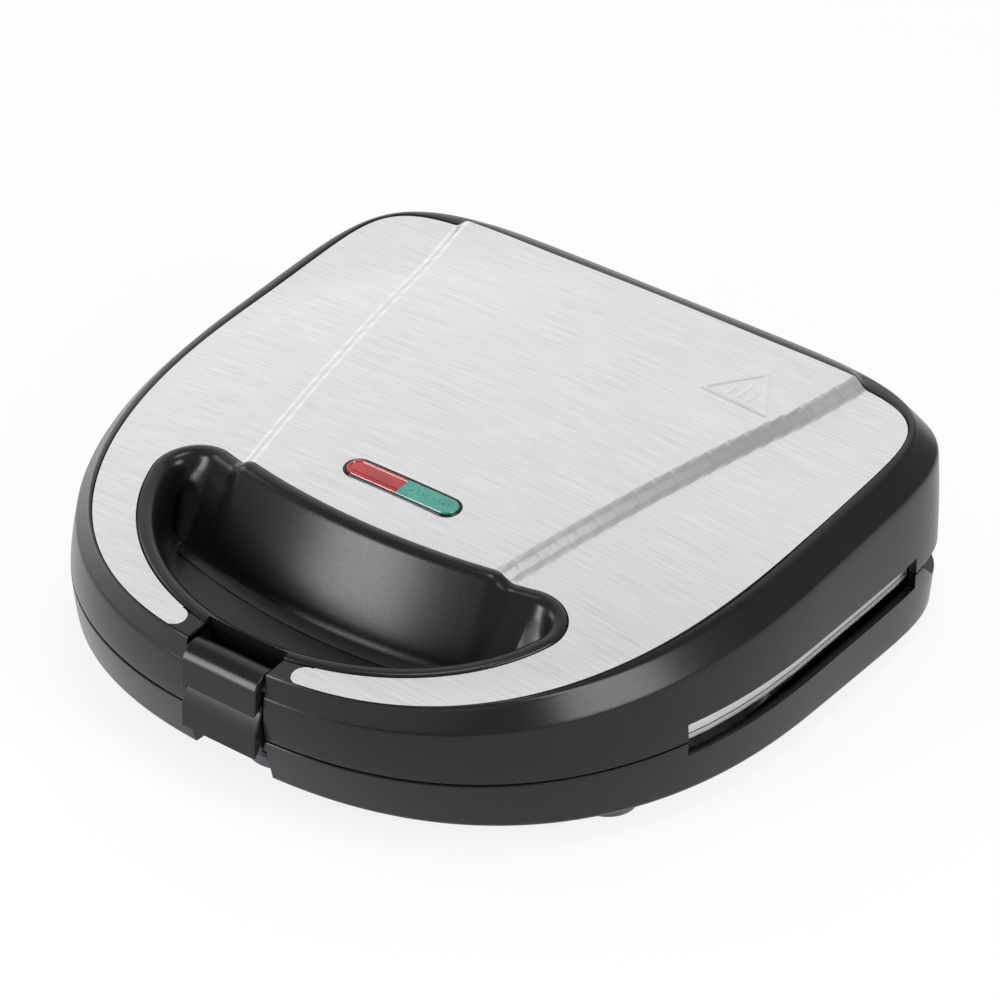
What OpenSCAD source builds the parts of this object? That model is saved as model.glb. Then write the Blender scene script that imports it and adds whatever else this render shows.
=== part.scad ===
// Two-slice sandwich maker: a base and a hinged lid, each a black casing round a cast plate with
// its heater, a latch at the front and a grip well in the lid. Origin on the table under the
// middle of the body, front towards -Y, right towards +X. The lid's top slopes down to the front,
// so what belongs to it is drawn in the plane of its steel cover's edge and placed by on_lid().

/* [Casing] */
// Width of the casing at the parting line
body_w = 229; // [222:1:236]
// Distance from the middle to the front wall at the parting line
body_front = 112.2; // [110:0.5:115]
// Distance from the middle to the rear wall at the parting line
body_rear = 113; // [112:0.5:116]
// Height of the parting line over the table
parting_z = 25; // [24.5:0.5:28]
// Gap between base and lid when shut
parting_gap = 0.4; // [0.2:0.1:0.6]
// Wall thickness of both casings
wall = 2.4; // [2:0.1:2.8]
// Thickness of the base's floor
floor_t = 2.2; // [1.8:0.1:2.4]
// Height of the base's bottom edge, under the middle
bottom_z = 6.4; // [6:0.1:7]
// Fall of the base's bottom edge towards the rear, in degrees
bottom_slope = 1.4; // [0:0.1:1.8]

/* [Lid] */
// Height of the steel cover's edge over the table, near the middle
lid_z = 55.8; // [55:0.2:60]
// Slope of the lid's top down to the front, in degrees
lid_slope = 4.2; // [3.6:0.1:4.6]
// Height of the chamfer under the lid's top edge
chamfer_h = 7.5; // [5:0.5:9]
// Width of the chamfer at the sides
chamfer_side = 5.3; // [3:0.1:6]
// Width of the black band round the steel cover at the sides
band_side = 4.5; // [3:0.1:6]
// Thickness of the lid's inner deck
deck_t = 2.2; // [1.8:0.1:2.6]

/* [Steel cover] */
// Thickness of the steel sheet
steel_t = 0.8; // [0.6:0.1:1]
// Radius of the cover's crown
crown_r = 870; // [800:10:1000]
// Height of the crown over the cover's edge
crown_h = 6.5; // [6:0.1:7]
// Height of the raised centre panel over its sides
panel_h = 3.2; // [2:0.1:4]
// Half width of the raised panel at the grip well
panel_front_w = 46.4; // [42:0.2:50]
// Half width of the raised panel at the rear
panel_rear_w = 74.5; // [70:0.5:78]

/* [Grip well] */
// Half width of the grip well
well_w = 74.5; // [70:0.5:76]
// Length of the grip well from its widest line to its front edge
well_l = 64.5; // [62:0.5:65]
// Distance of the well's widest line before the middle
well_y = 38; // [37:0.5:39]
// Depth of the grip well under the cover's edge
well_depth = 18.5; // [14:0.5:18.5]
// Width of the rim round the well
rim_w = 6; // [5:0.1:7]
// Radius of the well's rear corners
well_corner = 13; // [10:1:15]

/* [Cooking plates] */
// Distance of the plates' side edges behind the casing's outer face
plate_margin = 3.1; // [3:0.1:4]
// Distance of the plates' front edge before the middle
plate_front = 36.5; // [34:0.5:37]
// Distance of the plates' rear edge behind the middle
plate_rear = 77; // [74:0.5:77]
// Thickness of the lower plate's rim
lower_rim_t = 1.7; // [1.5:0.1:2.2]
// Thickness of the upper plate's rim
upper_rim_t = 3.7; // [3:0.1:4]
// Depth of the lower plate's pockets
lower_pocket = 7; // [5:0.5:7.5]
// Depth of the upper plate's pockets
upper_pocket = 12; // [8:0.5:13]
// Thickness of the plates' cast walls
cast_t = 2; // [1.6:0.1:2]
// Radius of the heaters' tube
heater_r = 2.75; // [2.4:0.05:2.8]

/* [Side slots] */
// Distance of the slots' front end before the middle
slot_front = 37; // [30:1:40]
// Distance of the slots' rear end behind the middle
slot_rear = 76; // [66:1:77]
// Reach of the slots over the parting line
slot_up = 5.9; // [5:0.1:7]
// Reach of the slots under the parting line
slot_down = 4.7; // [4:0.1:5.5]

/* [Hinge] */
// Distance of the hinge axis in front of the casing's rear edge
hinge_inset = 9.5; // [9:0.5:10.5]
// Height of the hinge axis over the table
hinge_z = 27; // [26.5:0.5:28]
// Radius of the hinge pins
hinge_pin_r = 2.5; // [2:0.1:3]
// Radius of the hinge ears
ear_r = 5.5; // [5:0.1:5.8]
// Distance of the hinge ears' middle from the centre line
ear_x = 70; // [60:1:74]
// Thickness of each hinge ear in the base
ear_t = 6; // [4:0.5:7]
// Thickness of the lid's hinge ear
lid_ear_t = 8.8; // [6:0.2:9]
// Radial clearance of every turning pin
run_fit = 0.05; // [0.02:0.01:0.08]
// Radial clearance of every pin or screw that stays put
seat_fit = 0.02; // [0.01:0.005:0.03]

/* [Latch] */
// Width of the latch
latch_w = 26.4; // [22:0.2:27]
// Gap beside the latch
latch_gap = 0.9; // [0.5:0.1:1.2]
// Radius of the latch's curl
curl_r = 5.5; // [5:0.1:5.8]
// Thickness of the latch's strap
latch_t = 3; // [2.4:0.1:3.4]
// Height of the latch's lower end over the table
latch_low = 19.5; // [18:0.5:20]
// Height of the latch pin over the table
latch_z = 41.8; // [40:0.1:42.4]
// Radius of the latch pin
latch_pin_r = 1.5; // [1.2:0.1:2]

/* [Indicator] */
// Length of the indicator
lamp_l = 41; // [36:1:46]
// Width of the indicator
lamp_w = 9; // [8:0.5:10]
// Distance of the indicator before the middle
lamp_y = 27; // [24:1:28]

/* [Feet] */
// Radius of the rubber feet
foot_r = 11; // [9:0.5:12]
// Radius of the cord's passage in the inlet bush
inlet_r = 3.1; // [2.6:0.1:3.1]

/* [Hidden] */
$fn = 48;
eps = 0.01;
big = 400;
fit = 0.25;

half_w = body_w / 2;
base_top = parting_z - parting_gap / 2;
lid_low = parting_z + parting_gap / 2;
outline_steps = 72;
outline_mid = 22.5;
lid_mid = 30;
lid_y = -3;
front_curve = 2.4;
rear_curve = 6.5;
lid_rear_curve = 5.4;
seam_rear_curve = 8;

wall_lean = 2.7;
wall_front = body_front - 1.2;
wall_rear = body_rear + 3;
chamfer_front = 1.2;
chamfer_rear = 2;
band_front = 1.2;
band_rear = 8.9;
bezel_hw = half_w - wall_lean - chamfer_side;
bezel_front = wall_front - chamfer_front;
bezel_rear = wall_rear - chamfer_rear;
seam_hw = bezel_hw - band_side;
seam_front = bezel_front - band_front;
seam_rear = bezel_rear - band_rear;
recess_d = steel_t;
deck_low = -recess_d - deck_t;

crown_z = crown_h - crown_r;
bulge_r = 196;
bulge_y = 150;
rim_rise = 0.5;
panel_y0 = -41;
panel_y1 = 102.5;
well_wall_t = 2.2;
well_back_run = 18;

latch_y = -(body_front - 2.2);
pocket_hw = latch_w / 2 + latch_gap;
pocket_rear = -99.5;
pocket_wall = 2.6;
catch_rear = -101;
catch_front = latch_y + curl_r - latch_t - 3.1;
hook_reach = latch_y - curl_r + latch_t + 1.4;
catch_z = latch_low + 3;

plate_hw = half_w - plate_margin;
plate_mid = (plate_rear - plate_front) / 2;
bowl_x = 7;
bowl_side = 18.4;
bowl_w = plate_hw - bowl_x - bowl_side;
bowl_margin = 6.5;
bowl_l = plate_front + plate_rear - 2 * bowl_margin;
bowl_corner = 9;
pocket_taper = 7;
ridge_w = 5;
pocket_corner = 7;
boss_r = 3.6;
step_r = boss_r + 1.6;
screw_r = 1.5;
screw_fit = 0.3;
head_r = 2.9;
head_h = 1.4;
plate_screws = [[0, -plate_front + 20], [0, plate_rear - 12],
    [-plate_hw + 14.4, plate_mid], [plate_hw - 14.4, plate_mid]];
panel_screw_x = half_w - 56.5;
panel_screws = [[-panel_screw_x, -52], [panel_screw_x, -52]];
panel_screw_l = 11;

lower_back_z = base_top - lower_pocket - cast_t;
upper_back_z = lid_low + upper_pocket + cast_t;
heater_x = plate_hw - 51.4;
heater_front = -6;
heater_rear = 48;
heater_bend = 15;
heater_end_x = 9;
heater_end_y = plate_rear - 4;
lower_heater_z = lower_back_z - heater_r - 0.05;
upper_heater_z = upper_back_z + heater_r + 0.05;
sheet_t = 0.5;
clamp_y = heater_rear + 8;
clamp_drop = 2 * heater_r + 0.1;
clamp_t = 1.5;
clamp_w = 30;
clamp_l = 7;
clamp_screw_l = 9;
lower_reflector_z = lower_heater_z - heater_r - 0.25 - sheet_t;
upper_reflector_z = upper_heater_z + heater_r + 4.4;
slot_x = plate_hw - 8.4;
reflector_w = 2 * slot_x;
reflector_front = heater_front - 16.5;
reflector_rear = plate_rear - 1;
front_panel_t = 2;
front_panel_gap = 0.9;
front_panel_rear = -plate_front - 0.6;
hinge_y = body_rear - hinge_inset;
bulkhead_y = plate_rear + 2;
bulkhead_t = 2;

rear_cut_start = bulkhead_y + bulkhead_t + 0.5;
terminal_y = bulkhead_y + bulkhead_t + 1;
terminal_l = 9;
terminal_mid = terminal_y + terminal_l / 2;
rear_cut_end = rear_cut_start + 10;
rear_cut_z = hinge_z - 13.4;
ear_gap = 0.6;
ear_in = ear_x - lid_ear_t / 2 - ear_gap - ear_t;
ear_out = ear_x + lid_ear_t / 2 + ear_gap + ear_t;
sleeve_x = 20;
sleeve_r = 2.4;
sleeve_clip_t = 6;

foot_front_x = half_w - 28.5;
foot_rear_x = half_w - 30.5;
foot_places = [[0, -86, 7.2], [-foot_front_x, -45, 6.2], [foot_front_x, -45, 6.2],
    [-foot_rear_x, 80, 3.2], [foot_rear_x, 80, 3.2]];
foot_boss_r = foot_r + 0.8;
spigot_r = 3;
spigot_l = 2.4;
inlet_x = -40;
inlet_z = 10;
inlet_l = 10.5;
inlet_y = body_rear + 2.5 - inlet_l;
inlet_wall_r = inlet_r + 0.9;

black = [0.06, 0.06, 0.065];
steel = [0.83, 0.83, 0.84];
cast = [0.66, 0.66, 0.67];
coating = [0.16, 0.16, 0.17];
heater_grey = [0.45, 0.43, 0.41];
rubber = [0.24, 0.25, 0.29];
ceramic = [0.86, 0.84, 0.78];

// Signed power, for the casing's rounded outlines
function spow(v, e) = sign(v) * pow(abs(v), e);

// Outline that is round at the front and square with round corners at the rear
function outline(hw, front, rear, mid, nf, nr) = [for (i = [0:outline_steps - 1])
    let (a = 360 * (i + 0.5) / outline_steps, n = sin(a) < 0 ? nf : nr,
        b = sin(a) < 0 ? front + mid : rear - mid)
    [hw * spow(cos(a), 2 / n), mid + b * spow(sin(a), 2 / n)]];

function parting_plan(in = 0) = outline(half_w - in, body_front - in, body_rear - in,
    outline_mid, front_curve, rear_curve);
function bottom_plan(in = 0) = outline(half_w + 0.6 - in, body_front - 3.7 - in,
    body_rear - 2.5 - in, outline_mid, front_curve, rear_curve);
function wall_plan(in = 0) = outline(half_w - wall_lean - in, wall_front - in, wall_rear - in,
    lid_mid, front_curve, lid_rear_curve + 0.6);
function bezel_plan(in = 0) = outline(bezel_hw - in, bezel_front - in, bezel_rear - in,
    lid_mid, front_curve, lid_rear_curve);
function seam_plan(in = 0) = outline(seam_hw - in, seam_front - in, seam_rear - in,
    lid_mid, front_curve + 0.1, seam_rear_curve);

// Height of the base's bottom edge and of the floor's upper side at a place along Y
function edge_z(y) = bottom_z - y * tan(bottom_slope);
function floor_z(y) = edge_z(y) + floor_t;
// Height over the table of a point given in the lid's plane
function lid_point_z(y, z) = lid_z + y * sin(lid_slope) + z * cos(lid_slope);

module on_lid() translate([0, lid_y, lid_z]) rotate([lid_slope, 0, 0]) children();
module on_bottom() translate([0, 0, bottom_z]) rotate([-bottom_slope, 0, 0]) children();
module slice(points) linear_extrude(eps) polygon(points);
module along_x(x, len) translate([x, 0, 0]) rotate([90, 0, 90]) linear_extrude(len) children();
module rod_x(x0, x1, y, z, r) translate([x0, y, z]) rotate([0, 90, 0]) cylinder(r = r, h = x1 - x0);
module pair_x() {
    children();
    mirror([1, 0, 0]) children();
}

// Flat slab with four round corners, lying on z = 0
module round_slab(w, l, h, r) {
    translate([-w / 2 + r, -l / 2, 0]) cube([w - 2 * r, l, h]);
    translate([-w / 2, -l / 2 + r, 0]) cube([w, l - 2 * r, h]);
    for (x = [-1, 1], y = [-1, 1])
        translate([x * (w / 2 - r), y * (l / 2 - r), 0]) cylinder(r = r, h = h);
}

// Outer form of the lid's casing and the room inside it
module lid_form() hull() {
    translate([0, 0, lid_low]) slice(parting_plan());
    on_lid() translate([0, 0, -chamfer_h]) slice(wall_plan());
    on_lid() translate([0, 0, -eps]) slice(bezel_plan());
}
module lid_room() hull() {
    translate([0, 0, lid_low - 1]) slice(parting_plan(wall));
    on_lid() translate([0, 0, -chamfer_h]) slice(wall_plan(wall));
    on_lid() translate([0, 0, deck_low - eps]) slice(bezel_plan(wall));
}

// Outer form of the base's casing and the room inside it
module base_form() hull() {
    translate([0, 0, base_top - eps]) slice(parting_plan());
    on_bottom() slice(bottom_plan());
}
module base_room() hull() {
    translate([0, 0, base_top + 1]) slice(parting_plan(wall));
    on_bottom() translate([0, 0, floor_t]) slice(bottom_plan(wall));
}

// Side view of what is cut from the base behind the cooking plates, to let the lid swing
module rear_cut() along_x(-big / 2, big)
    polygon([[rear_cut_start, big], [rear_cut_start, base_top - 1], [rear_cut_end, rear_cut_z + 2.4],
        [body_rear + 20, rear_cut_z], [body_rear + 20, big]]);

// Plan of the grip well, larger or smaller by a margin
module well_plan(grow = 0) offset(r = grow, $fn = 64)
    offset(r = well_corner, $fn = 48) offset(delta = -well_corner) difference() {
        translate([0, -well_y]) scale([well_w, well_l]) circle(r = 1, $fn = 96);
        translate([0, bulge_y]) circle(r = bulge_r, $fn = 240);
    }

// Room of the well: upright front walls and a rear wall that runs down and forwards
module well_room(grow = 0) intersection() {
    translate([0, 0, -well_depth - grow]) linear_extrude(well_depth + 20) well_plan(grow - rim_w);
    along_x(-big / 2, big) polygon([[-big / 2, -well_depth - grow],
        [-well_y - 8 - well_back_run + grow, -well_depth - grow], [-well_y + grow, 8],
        [-well_y + grow, 20], [-big / 2, 20]]);
}

// Rim that stands on the deck round the well and follows the cover's top, step included
module well_rim() intersection() {
    translate([0, 0, deck_low + 1]) linear_extrude(24) difference() {
        well_plan(-fit);
        well_plan(-rim_w);
    }
    union() {
        crown(rim_rise);
        intersection() {
            crown(panel_h + rim_rise);
            linear_extrude(24) panel_plan();
        }
    }
}

// Band of the bezel that slopes up to the raised panel's rear edge
module rear_band() intersection() {
    translate([0, 0, -1]) linear_extrude(panel_h + 0.8) intersection() {
        difference() {
            polygon(bezel_plan(0.3));
            polygon(seam_plan(-fit));
        }
        panel_plan();
    }
    along_x(-big / 2, big) polygon([[0, -2], [0, panel_h - 0.2], [seam_rear, panel_h - 0.2],
        [bezel_rear - 0.5, 0.1], [bezel_rear - 0.5, -2]]);
}

module lower_housing() color(black) {
    difference() {
        union() {
            difference() {
                base_form();
                base_room();
            }
            intersection() {
                base_form();
                union() {
                    translate([-pocket_hw - pocket_wall, -big / 2, 0])
                        cube([2 * (pocket_hw + pocket_wall), big / 2 + catch_rear + pocket_wall, big]);
                    translate([-big / 2, bulkhead_y, 0]) cube([big, bulkhead_t, big]);
                    for (p = plate_screws) {
                        translate([p[0], p[1], 0]) cylinder(r = boss_r, h = lower_back_z);
                        translate([p[0], p[1], 0]) cylinder(r = step_r, h = lower_reflector_z);
                    }
                    for (p = panel_screws)
                        translate([p[0], p[1], 0])
                            cylinder(r = boss_r, h = base_top - front_panel_t - 0.2);
                }
            }
            for (f = foot_places)
                translate([f[0], f[1], f[2]])
                    cylinder(r = foot_boss_r, h = floor_z(f[1]) + 1.4 - f[2]);
        }
        rear_cut();
        // recess behind the latch, with its catch left standing under the parting line
        translate([-pocket_hw, -big / 2, -1])
            cube([2 * pocket_hw, big / 2 + catch_rear, catch_z + 1]);
        translate([-pocket_hw, -big / 2, -1]) cube([2 * pocket_hw, big / 2 + catch_front, big]);
        pair_x() translate([slot_x, -slot_front, parting_z - slot_down])
            cube([big, slot_front + slot_rear, big]);
        for (p = concat(plate_screws, panel_screws))
            translate([p[0], p[1], -1]) {
                cylinder(r = screw_r + screw_fit, h = big);
                cylinder(r = head_r + screw_fit, h = edge_z(p[1]) + head_h + 1.2);
            }
        for (f = foot_places)
            translate([f[0], f[1], f[2] - 1]) cylinder(r = spigot_r, h = spigot_l + 1.2);
        translate([inlet_x, body_rear - 12, inlet_z]) rotate([-90, 0, 0])
            cylinder(r = inlet_wall_r + seat_fit, h = 30);
        translate([-sleeve_x - 8, bulkhead_y - 1, 12]) cube([16, 4, 4]);
    }
    pair_x() for (x = [ear_in, ear_out - ear_t]) hinge_ear(x, ear_t, hinge_pin_r + seat_fit);
    hinge_ear(-sleeve_x - sleeve_clip_t, sleeve_clip_t, sleeve_r + seat_fit);
}

// Upright ear on the base's floor with a bore for a pin or a sleeve
module hinge_ear(x, t, bore) difference() {
    union() {
        translate([x, hinge_y - ear_r, floor_z(hinge_y) - 1])
            cube([t, 2 * ear_r, hinge_z - floor_z(hinge_y) + 1]);
        rod_x(x, x + t, hinge_y, hinge_z, ear_r);
    }
    rod_x(x - 1, x + t + 1, hinge_y, hinge_z, bore);
}

// Ear that hangs from the lid's rear wall and deck
module lid_ear(x, t, bore) difference() {
    union() {
        translate([x, hinge_y - ear_r, hinge_z])
            cube([t, 2 * ear_r, lid_point_z(hinge_y - ear_r, deck_low) - hinge_z + 0.4]);
        translate([x, hinge_y, hinge_z + ear_r + 5]) cube([t, body_rear - wall / 2 - hinge_y, 12]);
        rod_x(x, x + t, hinge_y, hinge_z, ear_r);
    }
    rod_x(x - 1, x + t + 1, hinge_y, hinge_z, bore);
}

// Opening in the lid's rear wall that swings past an ear of the base
module ear_notch(x0, x1) translate([x0 - 0.6, hinge_y + 1, 0])
    cube([x1 - x0 + 1.2, 40, hinge_z + ear_r + 4]);

module upper_housing() color(black) {
    difference() {
        union() {
            difference() {
                lid_form();
                lid_room();
            }
            intersection() {
                lid_form();
                union() {
                    translate([-pocket_hw - pocket_wall, -big / 2, 0])
                        cube([2 * (pocket_hw + pocket_wall), big / 2 + pocket_rear, big]);
                    translate([-big / 2, bulkhead_y, 0]) cube([big, bulkhead_t, big]);
                    for (p = plate_screws) {
                        translate([p[0], p[1], upper_back_z]) cylinder(r = boss_r, h = big);
                        translate([p[0], p[1], upper_reflector_z + sheet_t])
                            cylinder(r = step_r, h = big);
                    }
                    for (p = panel_screws)
                        translate([p[0], p[1], lid_low + front_panel_t + 0.2])
                            cylinder(r = boss_r, h = big / 2);
                    on_lid() well_room(well_wall_t);
                }
            }
            on_lid() well_rim();
            on_lid() rear_band();
        }
        // seat of the steel cover, which leaves the bridges beside the latch standing
        on_lid() translate([0, 0, -recess_d]) linear_extrude(20) difference() {
            polygon(seam_plan(-fit));
            well_plan(-fit);
            translate([-20, -big / 2]) square([40, big / 2 - 90]);
        }
        on_lid() well_room();
        // latch pocket
        translate([-pocket_hw, -big / 2, 0])
            cube([2 * pocket_hw, big / 2 + pocket_rear + lid_y + 0.6, big]);
        rod_x(-pocket_hw - pocket_wall + 0.8, pocket_hw + pocket_wall - 0.8, latch_y, latch_z,
            latch_pin_r + seat_fit);
        pair_x() translate([slot_x, -slot_front, 0])
            cube([big, slot_front + slot_rear, parting_z + slot_up]);
        pair_x() ear_notch(ear_in, ear_in + ear_t);
        pair_x() ear_notch(ear_out - ear_t, ear_out);
        ear_notch(-sleeve_x - sleeve_clip_t, -sleeve_x);
        on_lid() translate([0, -lamp_y, deck_low - 1]) capsule(seat_fit, 20);
        for (p = plate_screws)
            translate([p[0], p[1], 0]) {
                cylinder(r = screw_r + screw_fit, h = big);
                translate([0, 0, upper_back_z + 6]) cylinder(r = head_r + screw_fit, h = big);
            }
        for (p = panel_screws)
            translate([p[0], p[1], 0]) cylinder(r = screw_r + seat_fit, h = lid_low + panel_screw_l + 1);
        translate([lid_lead_x - 4, bulkhead_y - 1, hinge_z + 4]) cube([8, 4, 6]);
    }
    pair_x() lid_ear(ear_x - lid_ear_t / 2, lid_ear_t, hinge_pin_r + run_fit);
    lid_ear(sleeve_x, sleeve_clip_t, sleeve_r + run_fit);
}

// Solid under the crowned top, raised by dz; the crown is a very large sphere
module crown(dz) translate([0, 0, crown_z + dz]) sphere(r = crown_r, $fn = 240);

// Plan of the raised panel, smaller by a margin
function panel_edge(y) = panel_front_w
    + (panel_rear_w - panel_front_w) * (y - panel_y0) / (panel_y1 - panel_y0);
module panel_plan(in = 0) polygon([[-panel_edge(-75) + in, -75], [panel_edge(-75) - in, -75],
    [panel_edge(130) - in, 130], [-panel_edge(130) + in, 130]]);

module steel_top_cover() color(steel) on_lid() difference() {
    intersection() {
        translate([0, 0, -steel_t]) linear_extrude(20) polygon(seam_plan());
        union() {
            crown(0);
            translate([-big / 2, -big / 2, -steel_t]) cube([big, big, steel_t]);
            intersection() {
                crown(panel_h);
                translate([0, 0, -steel_t]) linear_extrude(20) panel_plan();
            }
        }
    }
    crown(-steel_t);
    intersection() {
        crown(panel_h - steel_t);
        translate([0, 0, -20]) linear_extrude(40) intersection() {
            polygon(seam_plan(steel_t));
            panel_plan(steel_t);
        }
    }
    translate([0, 0, -20]) linear_extrude(60) {
        well_plan(0);
        translate([-20, -big / 2]) square([40, big / 2 - 90]);
    }
    translate([0, -lamp_y, -20]) capsule(0.1, 60);
}

// Upright capsule-shaped prism, as long and wide as the indicator
module capsule(grow, h) {
    r = lamp_w / 2 + grow;
    translate([-lamp_l / 2 + lamp_w / 2, -r, 0]) cube([lamp_l - lamp_w, 2 * r, h]);
    for (s = [-1, 1]) translate([s * (lamp_l - lamp_w) / 2, 0, 0]) cylinder(r = r, h = h);
}

lamp_top = crown_h + panel_h - lamp_y * lamp_y / (2 * crown_r);
frame_wall = 0.8;
frame_low = deck_low - 2;
holder_l = lamp_l + 2;
holder_w = lamp_w + 2.8;
holder_t = 6;
bulb_r = 2.5;

module indicator_frame() color(black) on_lid() translate([0, -lamp_y, frame_low]) difference() {
    capsule(0, lamp_top + 0.2 - frame_low);
    translate([0, 0, -1]) capsule(-frame_wall, 60);
}

module lens(side) on_lid() translate([0, -lamp_y, frame_low + 2]) intersection() {
    capsule(-frame_wall - 0.05, lamp_top + 0.5 - frame_low - 2);
    translate([side < 0 ? -big / 2 : 0.05, -50, -1]) cube([big / 2 - 0.05, 100, 100]);
}
module red_lens() color("red") lens(-1);
module green_lens() color("mediumaquamarine") lens(1);

module lamp_holder() color(ceramic) on_lid() translate([0, -lamp_y, frame_low]) difference() {
    translate([-holder_l / 2, -holder_w / 2, -holder_t]) cube([holder_l, holder_w, holder_t]);
    for (s = [-1, 1]) rod_x(s < 0 ? -lamp_l / 2 + 3 : 2, s < 0 ? -2 : lamp_l / 2 - 3, 0, -1.2,
        bulb_r + 0.1);
}

module lamp(side) on_lid() rod_x(side < 0 ? -lamp_l / 2 + 4 : 3, side < 0 ? -3 : lamp_l / 2 - 4,
    -lamp_y, frame_low - 1.2, bulb_r);
module red_lamp() color("orangered") lamp(-1);
module green_lamp() color("palegreen") lamp(1);

module front_panel_plan() difference() {
    polygon(parting_plan(wall + front_panel_gap));
    translate([-big / 2, front_panel_rear]) square([big, big]);
    translate([-pocket_hw - pocket_wall - 0.3, -big / 2])
        square([2 * (pocket_hw + pocket_wall + 0.3), big / 2 + catch_rear + pocket_wall + 0.3]);
}

module lower_front_panel() color(black) difference() {
    translate([0, 0, base_top - front_panel_t - 0.2]) linear_extrude(front_panel_t)
        front_panel_plan();
    for (p = panel_screws)
        translate([p[0], p[1], 0]) cylinder(r = screw_r + seat_fit, h = base_top - 0.8);
}

module upper_front_panel() color(black) difference() {
    translate([0, 0, lid_low + 0.2]) linear_extrude(front_panel_t) front_panel_plan();
    for (p = panel_screws)
        translate([p[0], p[1], 0]) {
            cylinder(r = screw_r + screw_fit, h = big);
            cylinder(r = head_r + screw_fit, h = lid_low + 0.2 + head_h);
        }
}

// One three-cornered pocket of a plate: wide at the plate's face, narrower at its bottom
module triangle_pocket(depth) hull() {
    linear_extrude(eps) triangle(0);
    translate([0, 0, -depth]) linear_extrude(eps) triangle(pocket_taper);
}
module triangle(in) {
    w = bowl_w - 2 * cast_t;
    l = bowl_l - 2 * cast_t;
    offset(r = pocket_corner - in * 0.6, $fn = 24) offset(delta = -pocket_corner - in * 0.4)
        polygon([[-w / 2, -l / 2], [w / 2 - ridge_w, -l / 2], [-w / 2, l / 2 - ridge_w]]);
}

// Plan of the plates: their sides follow the casing's outline
module plate_plan() intersection() {
    polygon(parting_plan(plate_margin));
    translate([-big / 2, -plate_front]) square([big, plate_front + plate_rear]);
}

// Cast plate with its face at z = 0 and its pockets and bosses below
module cooking_plate(rim_t, depth) {
    difference() {
        union() {
            translate([0, 0, -rim_t]) linear_extrude(rim_t) plate_plan();
            for (s = [-1, 1]) translate([s * (bowl_x + bowl_w / 2), plate_mid, -depth - cast_t])
                round_slab(bowl_w, bowl_l, depth + cast_t - 0.5, bowl_corner);
            for (p = plate_screws)
                translate([p[0], p[1], -depth - cast_t]) cylinder(r = boss_r, h = depth + 1);
            translate([0, clamp_y, -depth - cast_t - clamp_drop])
                cylinder(r = boss_r, h = depth + clamp_drop + 1);
        }
        for (s = [-1, 1]) translate([s * (bowl_x + bowl_w / 2), plate_mid, 0.1])
            for (turn = [0, 180]) rotate([0, 0, turn]) triangle_pocket(depth);
        for (p = plate_screws)
            translate([p[0], p[1], -depth - cast_t - 1]) cylinder(r = screw_r + seat_fit, h = depth);
        translate([0, clamp_y, -depth - cast_t - clamp_drop - 1])
            cylinder(r = screw_r + seat_fit, h = 9);
    }
}

module lower_cooking_plate() color(coating)
    translate([0, 0, base_top]) cooking_plate(lower_rim_t, lower_pocket);
module upper_cooking_plate() color(coating)
    translate([0, 0, lid_low]) mirror([0, 0, 1]) cooking_plate(upper_rim_t, upper_pocket);

// Quarter bend of a tube in a level plane
module bend(x, y, z, r, tube, turn) translate([x, y, z]) rotate([0, 0, turn])
    rotate_extrude(angle = 90) translate([r, 0]) circle(r = tube);

// Heater tube: a rounded loop with both ends led to the rear
module heater(z) color(heater_grey) {
    x = heater_x;
    b = heater_bend;
    e = 6;
    translate([0, 0, 0]) {
        rod_x(-x + b, x - b, heater_front, z, heater_r);
        pair_x() {
            bend(x - b, heater_front + b, z, b, heater_r, -90);
            translate([x, heater_front + b, z]) rotate([-90, 0, 0])
                cylinder(r = heater_r, h = heater_rear - heater_front - 2 * b);
            bend(x - b, heater_rear - b, z, b, heater_r, 0);
            rod_x(heater_end_x + e, x - b, heater_rear, z, heater_r);
            bend(heater_end_x + e, heater_rear + e, z, e, heater_r, 180);
            translate([heater_end_x, heater_rear + e, z]) rotate([-90, 0, 0])
                cylinder(r = heater_r, h = heater_end_y - heater_rear - e);
        }
    }
}
module lower_heating_element() heater(lower_heater_z);
module upper_heating_element() heater(upper_heater_z);

// Strap over both ends of a heater, screwed to a boss of the plate; its outer side at z = 0
module element_clamp() color(steel) difference() {
    translate([-clamp_w / 2, clamp_y - clamp_l / 2, 0]) cube([clamp_w, clamp_l, clamp_t]);
    translate([0, clamp_y, -1]) cylinder(r = screw_r + screw_fit, h = clamp_t + 2);
}
lower_clamp_z = lower_back_z - clamp_drop - clamp_t;
upper_clamp_z = upper_back_z + clamp_drop + clamp_t;
module lower_element_clamp() translate([0, 0, lower_clamp_z]) element_clamp();
module upper_element_clamp() translate([0, 0, upper_clamp_z]) mirror([0, 0, 1]) element_clamp();
module lower_clamp_screw() color(steel)
    translate([0, clamp_y, lower_clamp_z - head_h]) screw(clamp_screw_l);
module upper_clamp_screw() color(steel)
    translate([0, clamp_y, upper_clamp_z + head_h]) mirror([0, 0, 1]) screw(clamp_screw_l);

// Heat shield with holes round the posts and one for the clamp's screw
module reflector(z) color([0.78, 0.78, 0.76]) difference() {
    translate([0, (reflector_rear + reflector_front) / 2, z])
        round_slab(reflector_w, reflector_rear - reflector_front, sheet_t, 8);
    for (p = plate_screws) translate([p[0], p[1], 0]) cylinder(r = boss_r + 0.05, h = big);
    translate([-clamp_w / 2 - 2, clamp_y - clamp_l / 2 - 1.5, 0]) cube([clamp_w + 4, clamp_l + 3, big]);
}
module lower_reflector() reflector(lower_reflector_z);
module upper_reflector() reflector(upper_reflector_z);

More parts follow.
